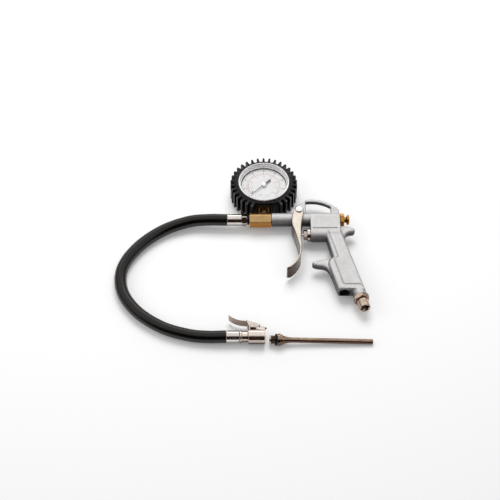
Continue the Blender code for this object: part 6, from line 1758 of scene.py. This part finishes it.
@dataclass
class Dial:
    """The enamelled dial with its printed scales, its screws and its stop peg."""

    top_z: float = 21.0
    thickness: float = 0.6
    radius: float = 27.4
    bore: float = 1.3
    sweep: float = 270.0
    zero: float = 225.0
    major: int = 8
    minor: int = 5
    outer_step: int = 2
    inner_step: int = 30
    tick_inner: float = 19.9
    long_tick: Tick = Tick(2.4, 0.4)
    short_tick: Tick = Tick(1.4, 0.22)
    number_radius: float = 24.4
    number_size: float = 3.6
    ring_radius: float = 19.1
    ring_half: float = 0.2
    long_red_tick: Tick = Tick(1.7, 0.3)
    short_red_tick: Tick = Tick(1.0, 0.18)
    inner_number_radius: float = 15.3
    inner_number_size: float = 2.3
    ink: float = 0.04
    screw_x: float = 4.3
    screw_y: float = -13.6
    screw_radius: float = 0.7
    screw_head: float = 1.5
    screw_foot_z: float = 16.9
    peg_radius: float = 0.5
    peg_height: float = 1.2
    peg_reach: float = 17.0
    peg_angle: float = 217.0

    def _angle(self, share: float) -> float:
        """Return the scale's angle at a share of its sweep, in degrees."""
        return self.zero - self.sweep * share

    def _bar(self, angle: float, inner: float, tick: Tick) -> Outline:
        """Draw a printed line that points away from the dial's centre.

        Args:
            angle: Where it stands, in degrees.
            inner: Radius of its inner end.
            tick: Its length and width.

        Returns:
            Its four corners.
        """
        along = Vector((math.cos(math.radians(angle)), math.sin(math.radians(angle))))
        across = Vector((-along.y, along.x)) * tick.width / 2
        outer = inner + tick.length
        corners = [along * inner - across, along * outer - across, along * outer + across,
                   along * inner + across]
        return [(c.x, c.y) for c in corners]

    def _number(self, text: str, angle: float, radius: float, size: float) -> Solid:
        """Print one number upright on the dial.

        Args:
            text: The number.
            angle: Where it stands, in degrees.
            radius: How far from the dial's centre it stands.
            size: Its height.

        Returns:
            The print.
        """
        curve = bpy.data.curves.new("number_" + text, "FONT")
        curve.body = text
        curve.size = size * MM
        curve.align_x = "CENTER"
        curve.align_y = "CENTER"
        curve.extrude = self.ink / 2 * MM
        curve.resolution_u = 4
        source = put("number_" + text, curve)
        turn = math.radians(angle)
        source.location = Vector((radius * math.cos(turn), radius * math.sin(turn),
                                  self.top_z + self.ink)) * MM
        return settled(source, "print_" + text)

    def _plate(self, outlines: Sequence[Outline]) -> Solid:
        """Print flat shapes on the dial."""
        return sheet_or_bar("print", outlines, (0, 0, self.top_z + self.ink), self.ink / 2)

    def _scales(self) -> None:
        """Print the black outer scale and the red inner one."""
        ticks, red_ticks = [], []
        steps = self.major * self.minor
        for i in range(steps + 1):
            angle = self._angle(i / steps)
            whole = i % self.minor == 0
            ticks.append(self._bar(angle, self.tick_inner, self.long_tick if whole else self.short_tick))
            red = self.long_red_tick if whole else self.short_red_tick
            red_ticks.append(self._bar(angle, self.ring_radius - red.length, red))
        inner, outer = (arc((0, 0), self.ring_radius + side, self._angle(0), self._angle(1), 120)
                        for side in (-self.ring_half, self.ring_half))
        black_print = [self._plate(ticks)]
        red_print = [self._plate(red_ticks), self._plate([outer + inner[::-1]])]
        for i in range(self.major + 1):
            angle = self._angle(i / self.major)
            black_print.append(self._number(str(self.outer_step * i), angle, self.number_radius,
                                            self.number_size))
            red_print.append(self._number(str(self.inner_step * i), angle, self.inner_number_radius,
                                          self.inner_number_size))
        dress(joined("dial_black_print", black_print), BLACK_INK, Body.GUN, Slot.BLACK)
        dress(joined("dial_red_print", red_print), RED_INK, Body.GUN, Slot.DIAL)

    def build(self) -> None:
        """Make the plate, its print, its screws and its peg."""
        top, bottom = self.top_z, self.top_z - self.thickness
        profile = fillet([(self.bore, top), (self.radius, top), (self.radius, bottom),
                          (self.bore, bottom)], 0.15, closed=True)
        plate = turned("dial_face", profile, upright(), 192)
        dress(plate, DIAL_ENAMEL, Body.GUN, Slot.DIAL, "dial_plate")
        self._scales()
        under, shank, head = self.top_z + FIT, self.screw_radius, self.screw_head
        for side, x in (("left", -self.screw_x), ("right", self.screw_x)):
            profile = fillet([
                (0.0, under + 0.6), (head - 0.25, under + 0.6), (head, under + 0.4), (head, under),
                (shank, under), (shank, self.screw_foot_z), (0.0, self.screw_foot_z),
            ], 0.2)
            screw = turned(f"dial_fixing_{side}", profile, upright(x, self.screw_y), 48)
            dress(screw, BRUSHED_CHROME, Body.GUN, Slot.CHROME, f"dial_screw_{side}")
        turn = math.radians(self.peg_angle)
        place = upright(self.peg_reach * math.cos(turn), self.peg_reach * math.sin(turn))
        profile = fillet([(0.0, top + self.peg_height), (self.peg_radius, top + self.peg_height),
                          (self.peg_radius, bottom), (0.0, bottom)], 0.15)
        dress(turned("dial_stop_peg", profile, place, 24), BLACK_INK, Body.GUN, Slot.BLACK)


@dataclass
class Gauge:
    """The gauge: boot, case, bezel, lens, dial, pointer, socket and movement."""

    bezel_top: float = 29.5
    bezel_foot: float = 20.4
    bezel_bore: float = 29.8
    sight_radius: float = 27.8
    seat_low: float = 22.7
    seat_high: float = 24.8
    lens_radius: float = 28.4
    lens_low: float = 25.1
    lens_high: float = 26.7
    pointer_z: float = 23.0
    pointer_half: float = 0.25
    pointer_length: float = 21.3
    pointer_tail: float = 12.0
    tail_start: float = 5.0
    hub_radius: float = 2.9
    arbor_radius: float = 1.2
    socket_half: float = 6.35
    socket_front_y: float = -32.1
    socket_step_y: float = -26.6
    socket_rear_y: float = -20.0
    socket_top: float = 16.3
    neck_radius: float = 4.85
    neck_end_y: float = -44.1

    def build(self) -> None:
        """Make every part of the gauge."""
        GaugeBoot().build()
        Dial().build()
        self._bezel()
        self._pointer()
        self._socket()
        refinish(STOVED_PAINT, "gauge_case")
        refinish(MACHINED_BRASS, "movement_back_plate", "movement_front_plate", "pointer_arbor",
                 "sector_gear", "movement_link", "bourdon_tube")
        refinish(SPRING_WIRE, "hairspring")

    def _bezel(self) -> None:
        """Make the bright ring and the lens under its rim."""
        r, top, sight = BEZEL_RADIUS, self.bezel_top, self.sight_radius
        section = fillet([
            (r - 0.4, top), (r, top - 0.5), (r, self.bezel_foot), (self.bezel_bore, self.bezel_foot),
            (self.bezel_bore, self.seat_low), (sight, self.seat_low), (sight, self.seat_high),
            (28.7, self.seat_high), (28.7, self.lens_high + FIT), (29.3, top - 0.4),
        ], 0.35, closed=True)
        bezel = turned("chrome_bezel", section, upright(), 192)
        dress(bezel, BRUSHED_CHROME, Body.GUN, Slot.CHROME, "bezel_ring")
        disc = fillet([(0.0, self.lens_high), (self.lens_radius, self.lens_high),
                       (self.lens_radius, self.lens_low), (0.0, self.lens_low)], 0.2)
        lens = turned("gauge_window", disc, upright(), 192)
        dress(lens, LENS, Body.GUN, Slot.LENS, "gauge_lens")

    def _pointer(self) -> None:
        """Make the black needle with its blunt tail, and its pale cap."""
        length, hub, tail, z = self.pointer_length, self.hub_radius, self.pointer_tail, self.pointer_z
        edge = [(length, 0.2), (hub, 0.45), (-hub, 0.6), (-self.tail_start, 0.9), (-tail, 0.95)]
        outline = [(length, -0.2)] + edge + [(x, -y) for x, y in edge[:0:-1]]
        turn = Matrix.Rotation(math.radians(Dial.zero), 2)
        outline = [tuple(turn @ Vector(p)) for p in outline]
        needle = sheet_or_bar("needle", [outline], (0, 0, z), self.pointer_half, 0.08)
        dress(needle, BLACK_INK, Body.POINTER, Slot.BLACK, "pointer")
        profile = fillet([
            (0.0, z + 1.4), (hub - 0.4, z + 1.4), (hub, z + 1.0), (hub, z - 0.5),
            (self.arbor_radius, z - 0.5), (self.arbor_radius, z + 0.5), (0.0, z + 0.5),
        ], 0.4)
        cap = turned("needle_cap", profile, upright(), 64)
        dress(cap, BRUSHED_CHROME, Body.POINTER, Slot.CHROME)

    def _socket(self) -> None:
        """Make the stepped brass socket between the case and the tee."""
        half, front, step = self.socket_half, self.socket_front_y, self.socket_step_y
        square = [(-half, front), (half, front), (half, step), (-half, step)]
        body = sheet_or_bar("square", [square], on_gun(0, 0), half, 0.5)
        low, high, rear = MID_Z - half, self.socket_top, self.socket_rear_y
        inner = [(-half, step - FIT), (half, step - FIT), (half, rear), (-half, rear)]
        block = sheet_or_bar("inner", [inner], (0, 0, (low + high) / 2), (high - low) / 2, 0.2)
        neck = rod("neck", self.neck_radius, on_gun(0, front + 1.1), on_gun(0, self.neck_end_y), 96)
        socket = carved(body, [block, neck], "UNION")
        socket.name = "brass_socket"
        dress(socket, SOCKET_BRASS, Body.GUN, Slot.BRASS, "gauge_socket")


# ---- Chuck and nozzle ----


@dataclass
class Chuck:
    """The clip-on chuck: body with its lug, stem, lever, rivet, spring, seal, pin and pad."""

    radius: float = 8.6
    left_x: float = -18.9
    mouth_radius: float = 4.5
    thread_radius: float = 4.9
    airway_radius: float = 2.5
    rivet: Pair = (-14.1, -205.0)
    rivet_hole: float = 1.6
    lug_half: float = 4.4
    lug_top_y: float = -203.6
    pad_y: float = -205.5
    pad_lift: float = 2.0
    pad_hole: float = 1.4
    claw_half: float = 2.2
    claw_x: Pair = (-6.8, -5.6)
    claw_y: Pair = (-209.6, -202.6)
    sheet: float = 1.2
    tab_half: float = 5.3
    tab_line: tuple = (
        (-40.6, -188.9), (-37.0, -191.9), (-32.8, -194.3), (-28.0, -195.9), (-20.4, -196.9),
    )
    grid: float = 0.22

    def _place(self, x: float = 0.0, y: float = CHUCK_Y, z: float = CHUCK_Z) -> Place:
        """Return a place on the chuck's axis, or on one parallel to it."""
        return Place((x, y, z), X_AXIS, Y_AXIS)

    def _box(self, name: str, low: Sequence[float], high: Sequence[float]) -> Solid:
        """Make a cutter or a blank from its two corners."""
        outline = [(low[0], low[1]), (high[0], low[1]), (high[0], high[1]), (low[0], high[1])]
        return sheet_or_bar(name, [outline], (0, 0, (low[2] + high[2]) / 2), (high[2] - low[2]) / 2)

    def _rivet_drill(self, name: str, reach: float) -> Solid:
        """Make the drill for the rivet's hole, this far to both sides of the middle."""
        ends = [Vector((*self.rivet, CHUCK_Z + side * reach)) for side in (-1, 1)]
        return rod(name, self.rivet_hole, *ends, 48)

    def _cutters(self) -> list[Solid]:
        """Make the body's drills and the slots for the claw and the spring.

        Returns:
            The cutters, as solids to cut away.
        """
        (x, y), z, claw = self.rivet, CHUCK_Z, self.claw_half
        drills = [("mouth", self.mouth_radius, -9.5, 2.0), ("thread", self.thread_radius, -20.0, -12.6),
                  ("airway", self.airway_radius, -18.0, -9.0)]
        cutters = [rod(name, radius, Vector((start, CHUCK_Y, z)), Vector((end, CHUCK_Y, z)))
                   for name, radius, start, end in drills]
        pad_z = z + self.pad_lift
        return cutters + [
            self._box("claw_slot", (-8.4, CHUCK_Y + 2.25, z - claw - RUN), (-3.0, -199.6, z + claw + RUN)),
            self._box("spring_slot", (x - 6, y - 3.3, z - 2.2), (x + 3.3, y + 6, z + 2.2)),
            self._rivet_drill("rivet_hole", 6.0),
            rod("pad_hole", self.pad_hole, Vector((-1.8, self.pad_y, pad_z)),
                Vector((1.0, self.pad_y, pad_z)), 32),
        ]

    def _body(self) -> Solid:
        """Cast and drill the body.

        Returns:
            The body.
        """
        x, y = self.rivet
        r, left, top = self.radius, self.left_x, self.lug_top_y
        profile = fillet([(0.0, 0.0), (r - 0.5, 0.0), (r, -0.5), (r, left + 0.5), (r - 0.5, left),
                          (0.0, left)], 0.3)
        barrel = turned("barrel", profile, self._place(), 128)
        foot = CHUCK_Y + r * 0.4
        lug = fillet([
            (x - 3.0, foot), (0.0, foot), (0.0, top), (-4.0, top), (-9.4, CHUCK_Y + r),
            (x + 2.6, y + 1.4), (x + 1.4, y + 2.6), (x - 1.4, y + 2.6), (x - 3.0, y + 1.4),
        ], 0.8, closed=True)
        plate = sheet_or_bar("lug", [lug], (0, 0, CHUCK_Z), self.lug_half)
        body = moulded("chuck_casting", [barrel, plate], self._cutters(), self.grid, 4)
        return dress(body, NICKEL_TURNED, Body.GUN, Slot.NICKEL, "chuck_body")

    def _lever(self) -> Solid:
        """Press the lever: two ears, a curved thumb tab and a claw.

        Returns:
            The lever.
        """
        inner = self.lug_half + RUN
        middle = (0, 0, CHUCK_Z)
        ears = fillet([(-21.6, -195.9), (-18.4, -203.8), (-16.6, -206.9), (-11.0, -206.9),
                       (-5.0, -203.8), (-5.0, -202.2)], 0.8, closed=True)
        gap = [(-19.9, -197.0), (-18.2, -201.6), (-25.0, -201.6), (-25.0, -212.0), (-6.8, -212.0),
               (-6.8, -190.0), (-19.9, -190.0)]
        blank = carved(sheet_or_bar("ears", [ears], middle, inner + self.sheet), [
            sheet_or_bar("gap", [gap], middle, inner),
            self._box("claw_gap", (-5.6, -212.0, CHUCK_Z - inner), (-2.6, -190.0, CHUCK_Z + inner)),
        ])
        outer = smooth_line(self.tab_line, 8)
        tab = sheet_or_bar("tab", [outer + beside(outer, -self.sheet)[::-1]], middle, self.tab_half, 0.3)
        (left, right), (low, high), half = self.claw_x, self.claw_y, self.claw_half
        claw = self._box("claw", (left, low, CHUCK_Z - half), (right, high, CHUCK_Z + half))
        hole = self._rivet_drill("lever_hole", 8.0)
        lever = moulded("chuck_thumb_lever", [blank, tab, claw], [hole], self.grid, 3)
        return dress(lever, NICKEL_LEVER, Body.LEVER, Slot.NICKEL, "chuck_lever")

    def _stem(self) -> Solid:
        """Turn the stem between the hose and the body, with its bead and neck.

        Returns:
            The stem.
        """
        profile = fillet([
            (2.5, -12.9), (4.6, -12.9), (4.6, -19.2), (6.2, -19.2), (6.2, -25.6), (6.5, -25.6),
            (7.3, -26.5), (7.3, -27.9), (6.5, -28.8), (4.0, -28.8), (4.0, -43.2), (2.5, -43.2),
        ], 0.35, closed=True)
        stem = turned("chuck_hose_stem", profile, self._place())
        return dress(stem, NICKEL_TURNED, Body.GUN, Slot.NICKEL, "chuck_stem")

    def _rivet(self) -> Solid:
        """Turn the rivet with its two low heads.

        Returns:
            The rivet.
        """
        face = self.lug_half + RUN + self.sheet + FIT
        head, shank = 2.3, self.rivet_hole - FIT
        half = [(0.0, face + 0.8), (head - 0.9, face + 0.8), (head, face + 0.25), (head, face),
                (shank, face)]
        profile = fillet(half + [(r, -z) for r, z in half[::-1]], 0.3)
        rivet = turned("lever_rivet", profile, upright(*self.rivet, CHUCK_Z), 64)
        return dress(rivet, NICKEL_TURNED, Body.GUN, Slot.NICKEL, "chuck_lever_rivet")

    def build(self) -> list[Solid]:
        """Make the chuck.

        Returns:
            Its pieces.
        """
        rivet = self._rivet()
        profile = fillet([(0.0, 1.9), (0.8, 1.9), (1.1, 1.4), (1.1, -1.5), (0.0, -1.5)], 0.3)
        pad = turned("lug_bumper", profile, self._place(0.0, self.pad_y, CHUCK_Z + self.pad_lift), 48)
        dress(pad, SEAL_RUBBER, Body.GUN, Slot.RUBBER, "chuck_lug_pad")
        ring = fillet([(4.2, -6.2), (4.2, -9.2), (1.9, -9.2), (1.9, -6.2)], 0.4, closed=True)
        seal = turned("mouth_seal", ring, self._place())
        dress(seal, SEAL_RUBBER, Body.GUN, Slot.RUBBER, "chuck_seal")
        refinish(MACHINED_BRASS, "chuck_depressor")
        refinish(SPRING_WIRE, "chuck_lever_spring")
        return [self._body(), self._stem(), self._lever(), rivet, pad, seal,
                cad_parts["chuck_depressor"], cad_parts["chuck_lever_spring"]]


@dataclass
class BlowNozzle:
    """The loose blow nozzle that lies beside the chuck, with its sealing ring."""

    left_x: float = 4.8
    y: float = -218.6
    length: float = 116.8
    thread_radius: float = 4.9
    thread_length: float = 6.0
    thread_pitch: float = 0.9
    thread_depth: float = 0.4
    groove_radius: float = 4.2
    seal_length: float = 2.6
    seal_bore: float = 4.5
    seal_radius: float = 6.8
    flange_radius: float = 7.0
    flange_length: float = 3.2
    step_radius: float = 6.0
    step_length: float = 2.4
    taper_length: float = 12.0
    taper_power: float = 2.4
    tube_radius: float = 3.0
    bore_radius: float = 1.6

    def _place(self) -> Place:
        """Lay the nozzle on the table, on its flange and its tip.

        Returns:
            Its open thread end and the way it points.
        """
        contact = self.thread_length + self.seal_length + 2 * FIT
        middle = contact + self.flange_length / 2
        tilt = math.asin((self.flange_radius - self.tube_radius) / (self.length - middle))
        height = self.flange_radius * math.cos(tilt) + contact * math.sin(tilt) + FIT / 2
        axis = Vector((math.cos(tilt), 0.0, -math.sin(tilt)))
        return Place((self.left_x, self.y, height), axis, Y_AXIS)

    def _tube(self) -> None:
        """Turn the nozzle: bore, tube, taper, step, flange, groove and thread."""
        groove_end = self.thread_length + self.seal_length + 2 * FIT
        flange_end = groove_end + self.flange_length
        step_end = flange_end + self.step_length
        rise = self.step_radius - 0.6 - self.tube_radius
        shares = [i / 24 for i in range(25)]
        taper = [(self.tube_radius + rise * (1 - share) ** self.taper_power,
                  step_end + self.taper_length * share) for share in shares]
        profile = fillet([(self.bore_radius, self.length), (self.tube_radius, self.length),
                          (self.tube_radius, step_end + self.taper_length)], 0.4)
        profile += taper[::-1]
        profile += fillet([
            taper[0], (self.step_radius, step_end), (self.step_radius, flange_end),
            (self.flange_radius, flange_end), (self.flange_radius, groove_end),
            (self.groove_radius, groove_end), (self.groove_radius, self.thread_length),
        ], 0.4)[1:]
        root = self.thread_radius - self.thread_depth
        for i in range(int((self.thread_length - 0.8) / self.thread_pitch)):
            high = self.thread_length - 0.3 - i * self.thread_pitch
            profile += [(root, high), (self.thread_radius, high - self.thread_pitch / 2)]
        profile += [(root, 0.0), (self.bore_radius, 0.0)]
        tube = turned("blow_nozzle", profile, self._place())
        dress(tube, NOZZLE_NICKEL, Body.NOZZLE, Slot.NICKEL, "nozzle_tube")

    def build(self) -> None:
        """Turn the nozzle and set its ring in the groove."""
        self._tube()
        middle = self.thread_length + FIT + self.seal_length / 2
        centre = (self.seal_bore + self.seal_radius) / 2
        half = (self.seal_radius - self.seal_bore) / 2
        ring = [(centre + half * math.cos(a), middle + self.seal_length / 2 * math.sin(a))
                for a in np.linspace(0, 2 * math.pi, 24, endpoint=False)]
        seal = turned("nozzle_ring", ring, self._place())
        dress(seal, SEAL_RUBBER, Body.NOZZLE, Slot.RUBBER, "nozzle_seal")


def main() -> None:
    """Build the studio and every sub-assembly."""
    logging.basicConfig(level=logging.INFO, format="%(name)s: %(message)s")
    Studio().build()
    line = HoseLine()
    hose = line.build()
    chuck = Chuck().build()
    line.declare()
    GunCasting().build()
    for part in (Trigger(), ValveFront(), DeflateValve(), AirInlet(), Tee(), Gauge(), BlowNozzle()):
        part.build()
        LOG.info("%s is ready", type(part).__name__)
    bpy.context.view_layer.update()


if __name__ == "__main__":
    main()
